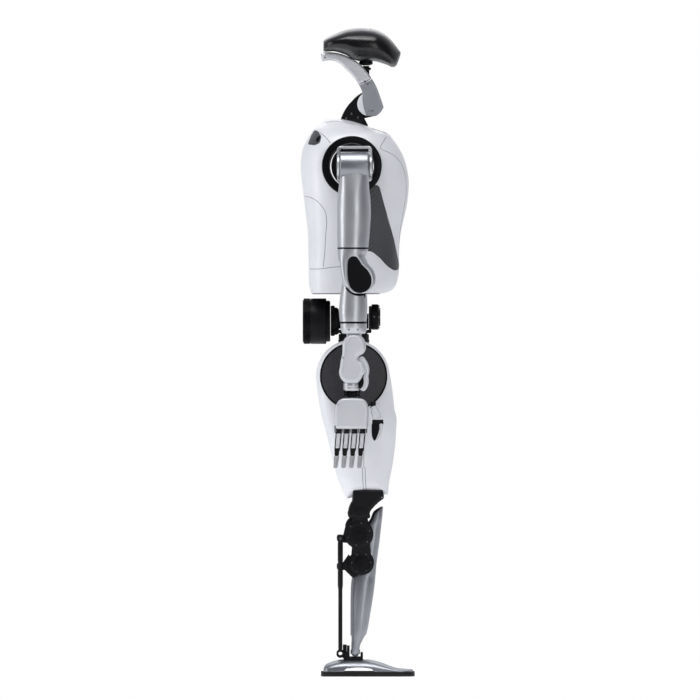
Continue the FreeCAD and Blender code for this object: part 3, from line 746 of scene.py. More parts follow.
TORSO_SEAMS = {
    "chest": [(76, 1420), (66, 1405), (58, 1390), (66, 1385), (80.6, 1380), (93, 1373), (104, 1364),
              (112, 1354), (118, 1343), (122.5, 1331), (125.5, 1318), (128, 1300), (128.5, 1280),
              (126, 1255), (121, 1228), (115, 1195), (111, 1165), (109, 1125), (107, 1085)],
    "hatch": [(-138, 1263), (-128, 1262), (-119, 1259), (-104, 1249), (-91, 1234), (-83, 1218),
              (-81, 1195), (-84, 1160), (-86, 1120), (-90, 1078)],
    "base": [(-126, 1072.5), (-105, 1072), (-92, 1073), (-72, 1076), (-52, 1078), (-30, 1079)],
    "shoulder_back": [(-112, 1437), (-98, 1431), (-84, 1419), (-72, 1404)],
    "collar": [(-84, 1458), (-60, 1462), (-38, 1459), (-10, 1452)],
}
for part, path in TORSO_SEAMS.items():
    seam(f"right_seam_{part}", torso_tree, "torso", path, 0.75)
seam("right_neck_gap", torso_tree, "torso", [(38, 1441.5), (50, 1438.5), (62, 1434), (76, 1429.5)],
     1.6)
WINDOW_EDGE = rounded_corners([(-131, 1400), (-112, 1397.5), (-99, 1404), (-95, 1422), (-107, 1437),
                               (-114, 1437), (-122, 1424)], 5)
add("right_sensor_window", patch(WINDOW_EDGE, torso_tree, 0.5, 3, 3.0), "torso", PANEL, sharp=40)
SENSOR = (-103, 1414)
sensor_hit = torso_tree.find_nearest(on_side(torso_tree, *SENSOR))
sensor = lathe([(7, 5), (7, -2.4), (6, -3.2), (5.4, -2.2), (2.8, -2.0)], "y", (0, 0, 0), 40)
sensor.transform(Matrix.Diagonal((0.74, 1, 1.25, 1)))
tilt = Matrix.Rotation(radians(24), 3, "Y").to_quaternion()
lean = Vector((0, -1, 0)).rotation_difference(sensor_hit[1]) @ tilt
sensor.transform(Matrix.Translation(sensor_hit[0] * MM) @ lean.to_matrix().to_4x4())
add("right_sensor", sensor, "torso", PLASTIC, sharp=40)
TORSO_LIP = ((1012, 5), (1006.6, 5), (1006.2, 4), (1006.2, 1), (1007, 0), (1012, 0))
add("torso_lip", loft([[(x - 30, y, z) for x, y in oval(89 - inset, 99 - inset, 3.4, 96)]
                       for z, inset in TORSO_LIP], False), "torso", PLASTIC)
ring_at = (shoulder.x, 0, shoulder.z)
add("right_shoulder_ring", ring_lathe([
    (57.2, -139), (57.2, -167.5), (58.5, -169.8), (61, -170.4), (61.4, -169), (63, -169),
    (63.4, -171.4), (74.5, -171.8), (77.6, -170.6), (78.8, -167.5), (78.8, -139),
], "y", ring_at), "torso", PLASTIC, replaces=["shoulder_rings"], sharp=40)
add("right_shoulder_trim", ring_lathe([(57.6, -169.6), (57.6, -171), (59.4, -171.4), (60.4, -170.2),
                                       (60, -168)], "y", ring_at), "torso", GREY, sharp=50)
add("right_shoulder_hub", lathe([
    (40, -152), (53.8, -153.6), (54.4, -154.4), (54.4, -168), (52.6, -169.6), (50, -170), (49.4, -168.4),
    (46, -168.4), (45.4, -171), (38, -173),
], "y", ring_at), "shoulder", BLACK, sharp=40)

# ---------------------------------------------------------------- head and neck

ARC_TOP = trace((-97.2, 1634), [
    (-95, 1641.4, -87, 1643.2), (-38, 1637.4, 24, 1593), (31, 1584, 37, 1574.6), (29, 1568.9),
    (7.6, 1559), (3.2, 1557.4), (-10, 1577, -32, 1599), (-62, 1620.4, -93, 1619),
])
ARC_LOW = trace((3.8, 1556), [
    (7.8, 1557.6), (29.4, 1567.5), (38, 1573), (50, 1551, 58, 1530), (64, 1513, 68.4, 1499),
    (61, 1486, 48, 1475.4), (24, 1475.4), (15, 1500, 12.6, 1532), (10, 1545, 3.8, 1556),
])
add("neck_arc_top", pillow(ARC_TOP, 0, 26, 7), "neck", PALE, replaces=["neck_arc"])
# The lower cheeks and the bridge below take the darker copy of the silver paint as painted shade.
for word, y in (("right", -22.9), ("left", 22.9)):
    add(f"neck_cheek_{word}", pillow(ARC_LOW, y, 3.1, 2.6), "neck", CAST_PAINTED_SHADE)
add("neck_cheek_bridge", pillow(trace((20, 1564.6), [(29.6, 1567), (37.4, 1572.4), (44, 1562, 49, 1552),
                                                  (36, 1553)]), 0, 21, 1), "neck", CAST_PAINTED_SHADE)
neck = joint_at["neck_pitch"]
add("neck_covers", joined(*[
    lathe([(28, way * 19.6), (31.5, way * 20.4), (31.5, way * 22.4), (29.6, way * 24), (24, way * 24.4)],
          "y", (neck.x + 0.6, 0, neck.z)) for way in (-1, 1)
]), "neck", WHITE, sharp=40)
# The plugs take the same darker copy of the silver paint as painted shade.
add("neck_plugs", joined(*[
    lathe([(6, way * 25), (6, way * 26.6), (5, way * 27.2), (3, way * 27.2), (2.6, way * 26.4)],
          "y", (neck.x + 4, 0, 1491), 40) for way in (-1, 1)
]), "neck", CAST_PAINTED_SHADE, sharp=40)
add("neck_screws", joined(*[screw(x, way * 26.2, z, 2.4, way) for way in (-1, 1)
                            for x, z in ((19.5, 1566), (27, 1560), (39, 1489), (-86, 1630))]),
    "neck", STEEL, sharp=40)
NECK_END = rounded_corners([(-93, 1624), (-79, 1625.5), (-79.5, 1638), (-92, 1636.5)], 3)
add("neck_end_cap", joined(*[pillow(NECK_END, way * 25.4, 1.6, 1) for way in (-1, 1)]), "neck", PALE)
add("neck_boss", joined(
    lathe([(9, 1584), (9, 1604), (8, 1607.6)], "z", (22, 0, 0), 40),
    ring_lathe([(9, 1596), (13.5, 1598), (13.5, 1602), (9, 1604)], "z", (22, 0, 0)),
), "neck", BLACK)
add("neck_stem", pillow(trace((-47, 1440), [
    (-46, 1462), (-36, 1487, -13, 1517), (-2, 1528, 10, 1536), (40, 1536), (55, 1518), (55, 1490),
    (46, 1476), (18, 1469.5), (27, 1452), (27, 1440),
]), 0, 19.3, 4), "torso", BLACK, replaces=["neck_stem"])
add("neck_foot", joined(
    block((-46, -25, 1428), (27, 25, 1452), 5),
    *[block((-38, y - 3, 1446), (14, y + 3, 1466), 2.5) for y in (-20, 20)],
), "torso", BLACK)
add("stem_bolts", joined(*[screw(x, way * 18.9, z, 2.8, way) for way in (-1, 1)
                           for x, z in ((-16, 1482), (1, 1472), (-30, 1470), (14, 1500))]),
    "torso", STEEL, sharp=40)

add("head_swivel", lathe([
    (9.6, 1608.8), (15.6, 1611), (18, 1612.6), (18, 1618), (16.8, 1619), (16.8, 1620.6), (18, 1621.6),
    (18, 1640),
], "z", (22, 0, 0), 64), "head", BLACK, replaces=["head_swivel"], sharp=40)
VISOR = [
    (-90, 44, 1646, 1673, 2.5), (-84, 56, 1645, 1679, 2.5), (-75, 66, 1645.4, 1684.5, 2.4),
    (-60.6, 76, 1645.6, 1691.4, 2.3), (-32, 86, 1637, 1702.4, 2.3), (-10, 90.4, 1624.4, 1706.2, 2.3),
    (10, 91.8, 1619, 1707.4, 2.3), (45, 90, 1619.6, 1703.6, 2.3), (65, 84, 1614.4, 1695.2, 2.3),
    (80.6, 75, 1608.7, 1683.8, 2.3), (91, 65, 1604.3, 1673, 2.3), (102, 49, 1608.4, 1659, 2.3),
    (109, 34, 1624, 1649.8, 2.2), (113.2, 20, 1637, 1644.6, 2.2),
]
visor_rings = []
for x in levels(-90, 113.2, 3.2):
    half, low, high, power = between(VISOR, x)
    visor_rings.append([(x, y, z + (low + high) / 2)
                        for y, z in oval(half, (high - low) / 2, power, 96)])
add("visor_shell", loft(visor_rings), "head", GLOSS, replaces=["visor_shell"], sharp=50)
add("visor_studs", joined(*[lathe([(2.6, -4), (2.6, z), (1.6, z + 0.5)], "z", (x, 0, 1706.4 - drop), 24)
                            for x, z, drop in ((0, 0.4, 0), (34, 0.4, 1))]), "head", STEEL)

# ---------------------------------------------------------------- arms, drawn on the right

ARM_Y = joint_at["right_elbow"].y
roll = joint_at["right_shoulder_roll"]


def across(outline, x, half, edge):
    """A plate whose outline is in the YZ plane, standing at x."""
    return turned_mesh(pillow(outline, -x, half, edge), 90, "Z", (0, 0, 0))


prong_outline = trace((-182, 1373), [(-236, 1371.5), (-264, 1343, -236, 1314.5), (-182, 1312)])
add("right_shoulder_fork", joined(
    pillow(rounded_corners(trace((-54.5, 1395.4), [(38.2, 1395.4), (38.2, 1301), (-54.5, 1301)], 200),
                           12, 8), -180.5, 7.4, 3),
    across(prong_outline, -50.6, 3.9, 2.2), across(prong_outline, 34.3, 3.9, 2.2),
), "shoulder", SILVER, replaces=["shoulder_fork"])
add("right_fork_caps", joined(*[
    lathe([(14, x - way * 1), (14, x + way * 1.2), (12.6, x + way * 2), (7, x + way * 2),
           (6.4, x + way * 1)],
          "x", (0, ARM_Y, roll.z), 40) for x, way in ((-54.4, -1), (38.1, 1))
]), "shoulder", BLACK)
add("right_fork_gap", block((-45, -200, 1376), (28.6, -187, 1388), 3), "shoulder", PLASTIC)

# The arm head takes the darker copy of the silver metal as painted shade.
add("right_arm_head", lathe([
    (30, -46.3), (34.6, -46.1), (36.4, -44.4), (36.9, -41.5), (36.9, 24.6), (36.4, 27.4), (34.6, 29.4),
    (30, 29.8),
], "x", (0, ARM_Y, roll.z)), "upper_arm", SILVER_PAINTED_SHADE, replaces=["upper_arm"])
UPPER_ARM = [
    (1127, -52.6, 28, 40.2, 2), (1130, -53.2, 28.6, 40.8, 2), (1170, -53.8, 32, 42.2, 2),
    (1217, -54.2, 34.8, 43, 2), (1255, -53, 33.6, 42.4, 2), (1280, -50.5, 31, 40, 2.1),
    (1300, -48, 29.8, 37, 2.3), (1320, -46.4, 29, 33, 2.5), (1350, -44, 27, 24, 2.5),
]
add("right_arm_tube", limb(UPPER_ARM, ARM_Y, levels(1127, 1350, 6)), "upper_arm", SILVER, sharp=50)
seam("right_arm_line", "right_arm_head", "upper_arm", [(-44.5, 1318), (-10, 1316.5), (27, 1318)], 0.6)
add("right_arm_seam", lathe([(38, 1123.8), (40.7, 1124.2), (40.7, 1128.4), (38, 1128.8)], "z",
                            (-12.4, ARM_Y, 0)), "elbow", PLASTIC)

ELBOW = [
    (1006.8, -8, 18, 30, 5), (1009, -14, 24, 33, 5), (1013, -20, 31, 35.4, 5), (1020, -28, 40, 37, 5),
    (1030, -35.4, 46.2, 37.8, 5), (1044, -41, 48.8, 38, 5), (1058, -43.6, 47.4, 38, 5),
    (1070, -46, 42.6, 38, 4.5), (1083, -48.4, 32.6, 38.2, 4), (1096, -50.4, 23, 38.8, 3),
    (1104, -51.6, 19.5, 39.2, 2.6), (1112, -52.4, 22, 39.8, 2.3), (1119, -52.9, 26.6, 40.2, 2.1),
    (1125, -53, 28, 40.4, 2),
]
elbow = joint_at["right_elbow"]
elbow_room = block((-90, ARM_Y - 26, 960), (90, ARM_Y + 26, 1092), 6)
add("right_elbow_housing",
    carved(limb(ELBOW, ARM_Y, levels(1006.8, 1125, 3.2), 96), elbow_room),
    "elbow", SILVER, replaces=["elbow_housing"], sharp=48)
CAP = smooth_loop([(-12, 1106), (-2, 1103), (5, 1094), (12, 1083), (24, 1071), (33, 1058), (37, 1042),
                   (33, 1024), (22, 1013), (7, 1008.5), (-8, 1012), (-19, 1023), (-25, 1040),
                   (-27, 1058), (-27, 1076), (-26, 1092), (-21, 1102)])
add("right_elbow_cap", joined(*[pillow(CAP, ARM_Y + way * 36.6, 4, 3.2) for way in (-1, 1)]),
    "elbow", PLASTIC, replaces=["elbow_cap"])
CAP_RIM = smooth_loop([(-13, 1110), (0, 1107), (9, 1097), (16, 1086), (28, 1074.5), (38, 1060),
                       (42, 1042), (37, 1021), (24, 1010), (7, 1007.6), (-11, 1009), (-23, 1020),
                       (-30, 1040), (-32, 1058), (-32, 1076), (-30.5, 1094), (-24, 1106)])
add("right_elbow_bezel", joined(*[pillow(CAP_RIM, ARM_Y + way * 35.4, 3.2, 2.6) for way in (-1, 1)]),
    "elbow", SILVER)

FOREARM = [
    (933.4, -46.6, 23, 34.8, 2), (950, -48.6, 25, 36.4, 2), (972, -48.4, 26, 36.8, 2.05),
    (1000, -46.2, 25, 36.6, 2.1), (1024, -43, 22, 35.6, 2.2), (1046, -39, 18, 34.6, 2.3),
]
add("right_forearm", carved(limb(FOREARM, ARM_Y, levels(933.4, 1046, 5), 80),
                            lathe([(44.2, -60), (44.2, 60)], "y", elbow)),
    "forearm", SILVER, replaces=["forearm"], sharp=48)
add("right_elbow_tongue", pillow(trace((-26, 1047), [(5, 1075, 35, 1045), (21, 1003), (16, 968), (-38, 968),
                                                     (-36, 1004)]), ARM_Y, 24.4, 6), "forearm", BLACK)
add("right_elbow_pin", joined(*[
    lathe([(13, way * 20), (13, way * 25.2), (11.6, way * 25.8)], "y", elbow, 40) for way in (-1, 1)
]), "forearm", STEEL)
add("right_forearm_ring", lathe([(33, 928.4), (35.4, 928.8), (35.4, 933.4), (33, 933.8)], "z",
                                (-11.6, ARM_Y, 0)), "forearm", PLASTIC)

WRIST = [
    (901, -37, 17.6, 25, 2.2), (904.5, -41, 21, 28.4, 2.2), (910, -43.4, 23, 31, 2.1),
    (918, -45, 24, 33.6, 2), (928.4, -45.8, 24.4, 34.8, 2),
]
add("right_wrist_sleeve", joined(
    limb(WRIST, ARM_Y, levels(901, 928.4, 2.5)),
    pillow(trace((-29, 908), [(-29, 871), (-9, 851, 11, 871), (11, 908)]), ARM_Y, 15, 3),
), "wrist", SILVER, replaces=["wrist_sleeve"], sharp=45)
screws("right_wrist_screws", "wrist", [(-23, 912), (1, 912)], 2.0, ARM_Y - 31.4)
LINK = trace((-39.8, 871), [
    (-9, 901.8, 21.8, 871), (19.5, 856, 8, 845), (2, 838, 8, 829.5), (21, 812, 14, 792),
    (6, 778, -2, 770.6),
    (-26, 770.6), (-46, 788, -46.8, 812), (-44, 832, -41, 845), (-40, 856, -39.8, 871),
])
wrist_room = block((-49, ARM_Y - 16.5, 840), (40, ARM_Y + 16.5, 940), 5)
add("right_wrist_link", carved(pillow(LINK, ARM_Y, 27, 11), wrist_room), "wrist_link", SATIN,
    replaces=["wrist_link"], sharp=45)
screws("right_link_screws", "wrist_link", [(-37.5, 839), (-9.5, 839)], 2.1, ARM_Y - 24.6)
add("right_link_cover", pillow(trace((0, 836), [
    (14, 842, 21, 834), (30, 815, 28, 790), (27, 765, 19, 751.6), (10, 752, 5, 756), (14, 768, 13, 786),
    (16, 806, 8, 822), (4, 828, 0, 836),
]), ARM_Y, 17, 5), "wrist_link", SATIN)
add("right_link_gap", pillow(trace((3, 834), [(20, 815, 18, 790), (17, 772, 12, 758), (0, 762), (-4, 800)]),
                             ARM_Y, 14.6, 2), "wrist_link", PLASTIC)
add("right_wrist_cuff", lathe([(19, 774), (21.4, 773), (22.2, 771), (22.2, 763), (21.4, 761), (22.3, 760.4),
                               (22.3, 754), (20.8, 752.2), (18, 752)], "z", (-15, ARM_Y, 0), 64),
    "wrist_link", SILVER, sharp=40)
add("right_wrist_clevis", joined(*[
    across(trace((-246, 756), [(-246, 745), (-236, 736.4, -226, 745), (-226, 756)]), x, 3.4, 1.4)
    for x in (-33.5, 3.5)
]), "wrist_link", BLACK)

PALM = smooth_loop([(-30, 733), (0, 733), (18, 728), (27, 714), (29, 695), (27.5, 672), (25, 654),
                    (10, 651.5), (-40, 651.5), (-56, 654), (-59, 675), (-59.6, 697), (-56, 716),
                    (-46, 729)])
add("right_palm", pillow(PALM, ARM_Y, 17, 8), "palm", SATIN, replaces=["palm"])
screws("right_palm_screws", "palm", [(-51, 716), (20, 712), (-52, 661), (19, 661)], 1.7, ARM_Y - 15.6)
add("right_palm_joint", joined(
    lathe([(6, -29.4), (7.4, -28.4), (7.4, -1.6), (6, -0.6)], "x", (0, ARM_Y, 745), 40),
    block((-28, ARM_Y - 9, 728), (-2, ARM_Y + 9, 748), 4),
), "palm", PLASTIC)


def segment(top, bottom, wide_top, wide_bottom, half, edge):
    """A finger's segment between two points, as a rounded bar."""
    (x1, z1), (x2, z2) = top, bottom
    outline = rounded_corners([(x1 - wide_top / 2, z1), (x1 + wide_top / 2, z1),
                               (x2 + wide_bottom / 2, z2), (x2 - wide_bottom / 2, z2)],
                              min(wide_top, wide_bottom) * 0.35, 4)
    return pillow(outline, ARM_Y, half, edge, grid=3.0)


knuckle_z = joint_at["right_finger_curl"].z
fingertip_z = joint_at["right_fingertip_curl"].z
knuckles = [-49 + 20.8 * k for k in range(4)]
add("right_palm_lugs", joined(*[
    across(trace((-242, 660), [(-242, 647), (-236, 641, -230, 647), (-230, 660)]), x - 10.4, 1.5, 0.8)
    for x in knuckles + [knuckles[-1] + 20.8]
]), "palm", BLACK)
add("right_finger_bars", joined(*[
    segment((x - 0.6, knuckle_z - 7), (x - 4.6, 599.5), 13.4, 12, 7.3, 3.4) for x in knuckles
]), "fingers", SATIN, replaces=["fingers_proximal"])
add("right_finger_knuckles", joined(*[
    lathe([(6, x - 7.8), (7.4, x - 6.6), (7.4, x + 6.6), (6, x + 7.8)], "x", (0, ARM_Y, knuckle_z), 32)
    for x in knuckles
], *[
    segment((x + 0.4 + off, knuckle_z - 2), (x - 3.8 + off, 597), 2.6, 2.4, 6.4, 1.1)
    for x in knuckles for off in (-7.4, 6)
], *[
    segment((x - 4.4, 602), (x - 5.4, 590), 14.6, 14, 6.9, 2) for x in knuckles
]), "fingers", BLACK)
add("right_finger_joints", joined(*[
    lathe([(5.4, x - 11.8), (6.6, x - 10.8), (6.6, x - 0.6), (5.4, x + 0.4)], "x",
          (0, ARM_Y, fingertip_z), 32) for x in knuckles
], *[
    block((x - 10.4, ARM_Y - 5.4, 575), (x - 1.2, ARM_Y + 5.4, 586), 1.6) for x in knuckles
]), "fingertips", BLACK)
add("right_fingertip_pads", joined(*[
    segment((x - 6, 582), (x - 9.4, 548.6), 13.6, 11, 6.6, 4.2) for x in knuckles
]), "fingertips", TIP, replaces=["fingers_distal"])

add("right_thumb_root", joined(
    lathe([(6, 709), (7, 710.4), (7, 722.6), (6, 724)], "z", (41, ARM_Y, 0), 32),
    block((33.6, ARM_Y - 6.4, 704), (48.4, ARM_Y + 6.4, 714), 2.5),
), "thumb", BLACK, replaces=["thumb_base"])
THUMB_BAR = rounded_corners([(34.4, 711), (48, 714), (57.5, 697), (61.5, 680), (40, 679.5), (35, 694)], 4.5)
add("right_thumb_bar", pillow(THUMB_BAR, ARM_Y, 7.5, 3.6), "thumb", SATIN)
add("right_thumb_joint", joined(
    lathe([(5, 38.2), (6.2, 39.4), (6.2, 66.6), (5, 67.8)], "x", (0, ARM_Y, 670), 32),
    pillow(smooth_loop([(38, 666), (47, 669), (56, 666), (57, 650), (51, 630), (44.5, 620.6), (38.6, 629),
                        (36.6, 646)]), ARM_Y, 6.4, 3),
), "thumb_tip", PLASTIC, replaces=["thumb_tip"])
THUMB_EDGE = trace((58, 674), [(66.4, 658, 63, 644), (58, 630, 47, 621.6), (56, 636, 57.6, 650),
                               (58.4, 662, 58, 674)], 1.5)
add("right_thumb_edge", pillow(THUMB_EDGE, ARM_Y, 4.8, 2), "thumb_tip", SATIN)

# ---------------------------------------------------------------- legs, drawn on the right

LEG_Y = joint_at["right_knee"].y
hip = joint_at["right_hip_pitch"]
add("right_hip_roll", joined(
    lathe([(14, -36.4), (16.4, -35), (17, -33.6), (17, 12.6), (16.4, 14), (13, 15.4)], "x",
          (0, -42, 850), 56),
    lathe([(14, 827.4), (16, 828.8), (16, 846)], "z", (hip.x, -42, 0), 48),
), "hip_roll", BLACK, replaces=["hip_roll_link"])
add("right_hip_yaw", joined(
    lathe([(15, 755.4), (17.4, 756.8), (18, 758.6), (18, 774), (16.8, 775.4), (16.8, 806), (18, 807.4),
           (18, 822), (16.4, 824.6)], "z", (hip.x, -42, 0), 56),
    lathe([(16, -44), (16, -67.2)], "y", (hip.x, 0, hip.z), 48),
), "hip_yaw", BLACK, replaces=["hip_yaw_link"])

THIGH = trace((-108.4, 776), [
    (-10.5, 886.4, 84, 799), (92, 750, 96.6, 703), (101.8, 684, 101.7, 655), (98, 600, 84, 518),
    (81.6, 498, 80, 478.6), (50, 479.6, 24, 481), (-8, 472.6, -27.7, 467.9), (-44, 500, -55.6, 532),
    (-76, 615, -96, 692), (-103, 732, -108.4, 776),
], 4)
add("right_thigh_shell", pillow(THIGH, -105.5, 37.4, 36, grid=6), "thigh", WHITE,
    replaces=["thigh_shell"], sharp=45)
for k, x in enumerate((13.5, 20.5)):
    seam(f"right_thigh_line_{k}", "right_thigh_shell", "thigh", [(x + 3, 484), (x, 515), (x - 1, 551)], 0.7)
seam("right_thigh_long", "right_thigh_shell", "thigh", [(16, 551), (17, 620), (22, 690)], 0.6)
disc_at = (hip.x, 0, hip.z)
add("right_hip_disc", lathe([
    (40, -138), (84, -138), (84.6, -147), (83.6, -148), (60, -148.3), (20, -148.4),
], "y", disc_at, 128), "thigh", CARBON, replaces=["hip_disc"], sharp=40)
add("right_hip_rim", ring_lathe([
    (84.4, -136), (84.4, -147.4), (85.4, -148.4), (87.4, -148.6), (88.8, -147), (88.8, -136),
], "y", disc_at), "thigh", PLASTIC, sharp=40)

CASTING = trace((-13, 492), [
    (-13.6, 476, -15, 461), (-21, 450, -25, 436), (-26.4, 428, -22, 417), (0, 416), (26, 416),
    (31, 416.4, 32.6, 424),
    (32.6, 431, 36, 438), (52, 455, 67.4, 467), (69.4, 472, 69, 478), (66, 490),
])
add("right_knee_casting", carved(pillow(CASTING, LEG_Y, 37, 9),
                                 block((-60, LEG_Y - 28.2, 380), (90, LEG_Y + 28.2, 461), 6)),
    "thigh", BLACK, replaces=["knee_casting"], sharp=45)
screws("right_knee_bolts", "thigh", [(64, 471)], 2.4, LEG_Y - 35.6)
add("right_knee_pivot", joined(*[
    lathe([(15, way * 36), (15, way * 38.2), (13.6, way * 39), (8, way * 39), (7.4, way * 37.6)], "y",
          joint_at["right_knee"], 48) for way in (-1, 1)
]), "thigh", BLACK)

upper = (3.2, LEG_Y, 374.7)
lower = (10, LEG_Y, 299.6)


def motor(radius, centre):
    """A joint motor with a stepped cover on each face."""
    return joined(
        lathe([(radius - 3, -26), (radius - 0.8, -25.2), (radius, -24), (radius, -7), (radius - 1, -6),
               (radius - 1, 6), (radius, 7), (radius, 24), (radius - 0.8, 25.2), (radius - 3, 26)],
              "y", centre),
        *[lathe([(radius - 5, way * 24), (radius - 5, way * 27), (radius - 6, way * 27.8),
                 (radius - 10, way * 27.8), (radius - 10.8, way * 26.8), (radius - 12, way * 26.8)],
                "y", centre) for way in (-1, 1)])


add("right_shank_motors", joined(motor(38.7, upper), motor(33.5, lower)), "shank", BLACK,
    replaces=["shank_frame"], sharp=40)
add("right_motor_star", joined(*[
    part for way in (-1, 1) for part in (
        toothed(22, 4.5, 10, min(way * 25, way * 29), max(way * 25, way * 29), "y", upper),
        lathe([(9, way * 28), (9, way * 30), (7.6, way * 30.6), (5, way * 30.6), (4.4, way * 29.6)], "y",
              upper, 40),
        lathe([(19, way * 26.6), (19, way * 27.6), (17.8, way * 28.2), (4, way * 28.2)], "y", lower, 64))
]), "shank", PLASTIC, sharp=40)
add("right_shank_neck", joined(
    lathe([(19.5, -27.4), (21.4, -26.4), (22, -25), (22, 25), (21.4, 26.4), (19.5, 27.4)], "y",
          joint_at["right_knee"], 64),
    pillow(trace((-14, 430), [(-14, 398), (-14, 352), (-16.5, 322), (36, 318), (34, 337), (33, 352),
                              (30, 398), (24, 430)]), LEG_Y, 26.6, 3),
    pillow(trace((-12, 421), [(-26, 412, -33, 392), (-38, 372), (-53, 372), (-55, 363, -52, 355),
                              (-36, 352), (-12, 350)]), LEG_Y, 15.6, 4),
    pillow(trace((-24, 320), [(-38, 300), (-53, 297), (-55, 288, -51, 279), (-34, 280), (-16, 262),
                              (-9, 256.6), (-2, 264), (-4, 300)]), LEG_Y, 15.6, 4),
), "shank", BLACK)
screws("right_shank_bolts", "shank", [(upper[0] + 29.6 * cos(tau * k / 6 + 0.3),
                                       upper[2] + 29.6 * sin(tau * k / 6 + 0.3)) for k in range(6)]
       + [(lower[0] + 24.6 * cos(tau * k / 6), lower[2] + 24.6 * sin(tau * k / 6)) for k in range(6)],
       1.6, LEG_Y - 27.6)

CALF = [
    (51.8, -15, 3, 12, 2.6), (53.6, -17.4, 5, 17, 2.5), (57, -18.4, 6, 21.5, 2.4),
    (64, -18.5, 6.5, 24, 2.4),
    (82, -18.8, 9, 24.7, 2.4), (92, -18.9, 14, 25.4, 2.3), (114.6, -18.9, 24.2, 28, 2.3),
    (166, -18.8, 33.7, 29.8, 2.2), (209, -18.5, 40.6, 29.8, 2.2), (244, -17, 45.2, 28, 2.2),
    (260, -13.8, 46.6, 26, 2.3), (270, -4, 47.6, 24.6, 2.4), (282, 4, 48.4, 24.4, 2.4),
    (300, 10, 50.2, 24.4, 2.4), (351, 14, 57.2, 24.4, 2.4), (396, 22, 62.2, 24.2, 2.4),
    (414, 34, 64.4, 23.6, 2.4), (426, 38.6, 65.6, 22.6, 2.4), (434, 43, 66.2, 21, 2.4),
    (440, 51, 66.8, 18, 2.4), (446, 61, 67.2, 10, 2.4),
]
# The calf takes the darker copy of the silver metal as painted shade.
add("right_calf_shell", carved(
    limb(CALF, LEG_Y, levels(51.8, 70, 2)[:-1] + levels(70, 240, 5)[:-1] + levels(240, 446, 3), 80),
    block((-60, LEG_Y - 16, 30), (60, LEG_Y + 16, 109), 6),
), "shank", SILVER_PAINTED_SHADE, replaces=["calf_shell"], sharp=48)

rod_low = 59.3
rod_meshes = []
for y, top, thick in ((LEG_Y - 24, 363, (306, 350)), (LEG_Y + 24, 288, (240, 276))):
    shaft = [(4.8, rod_low + 8), (5.4, rod_low + 16), (5.4, thick[0] - 12), (6.9, thick[0]),
             (6.9, thick[1]), (5.4, top - 6)]
    rod_meshes.append(lathe(shaft, "z", (-45.5, y, 0), 28))
    for z, radius in ((rod_low, 10.3), (top, 9.4)):
        rod_meshes.append(ring_lathe([(5.4, -5), (5.4, 5), (radius - 1.2, 5), (radius, 3.6), (radius, -3.6),
                                      (radius - 1.2, -5)], "y", (-45.5, y, z)))
    rod_meshes.append(lathe([(5, -4), (5, 4)], "y", (-45.5, y, top), 28))
add("right_ankle_rods", joined(*rod_meshes), "rods", BLACK, replaces=["ankle_rods"], sharp=40)
screws("right_rod_pins", "rods", [(-45.5, 363)], 3.6, LEG_Y - 27.6)

FOOT = [
    (-90, 20, 12.6, 20, 2.6), (-87, 28, 12.6, 26.5, 2.6), (-83, 33.6, 12.6, 30, 2.6),
    (-74, 38, 12.6, 34.6, 2.5),
    (-58, 41, 12.6, 40, 2.4), (-37, 42, 12.6, 43.2, 2.4), (0, 42, 12.6, 43.4, 2.4),
    (29, 42, 12.6, 42.6, 2.4),
    (50, 42, 12.6, 38.6, 2.4), (72, 42, 12.6, 31.4, 2.5), (92, 42, 12.6, 24, 2.7),
    (108, 41.6, 12.6, 20.2, 3),
    (126, 38, 12.6, 18.6, 3), (139, 29, 12.6, 17.6, 3), (147, 13, 12.6, 16, 3),
]
foot_rings = []
for x in levels(-90, 147, 3.4):
    half, low, high, power = between(FOOT, x)
    foot_rings.append([(x, LEG_Y + y, low + max(z, 0)) for y, z in oval(half, high - low, power, 72)])
foot_skin = loft(foot_rings)
ARCH = trace((-36, 8), [(-33, 18, -22, 21.4), (4, 23.4, 30, 21.2), (39, 18, 43, 12), (44, 8)])
arch = pillow(ARCH, LEG_Y, 60, 0.5)
# The foot shell takes the darker copy of the silver metal as painted shade.
add("right_foot_shell", carved(foot_skin, arch), "foot", SILVER_PAINTED_SHADE, replaces=["foot_shell"], sharp=50)
SOLE = trace((-95.6, LEG_Y - 18), [
    (-91, LEG_Y - 38, -70, LEG_Y - 41), (-20, LEG_Y - 43.6, 60, LEG_Y - 45),
    (100, LEG_Y - 45, 120, LEG_Y - 43),
    (135.4, LEG_Y - 34, 150.8, LEG_Y), (135.4, LEG_Y + 34, 120, LEG_Y + 43),
    (100, LEG_Y + 45, 60, LEG_Y + 45),
    (-20, LEG_Y + 43.6, -70, LEG_Y + 41), (-91, LEG_Y + 38, -95.6, LEG_Y + 18),
], 5)


def flat(outline, low, high, edge):
    """A plate whose outline is in the XY plane."""
    mesh = pillow(outline, 0, (high - low) / 2, edge)
    mesh.transform(Matrix.Rotation(radians(90), 4, "X"))
    mesh.transform(Matrix.Diagonal((1, -1, 1, 1)))
    mesh.flip_normals()
    mesh.transform(Matrix.Translation((0, 0, (low + high) / 2 * MM)))
    return mesh


add("right_sole", joined(flat(SOLE, 0, 9.4, 3), flat(SOLE, 9.0, 12.4, 1.2)), "foot", RUBBER,
    replaces=["sole"], sharp=40)


def ankle_lug(shoulder, top):
    """The outline of a lug that carries the ankle's cross shaft."""
    inner, outer = LEG_Y + 11, LEG_Y - 11
    return trace((outer, 45), [(outer, shoulder), (LEG_Y, top, inner, shoulder), (inner, 45)])


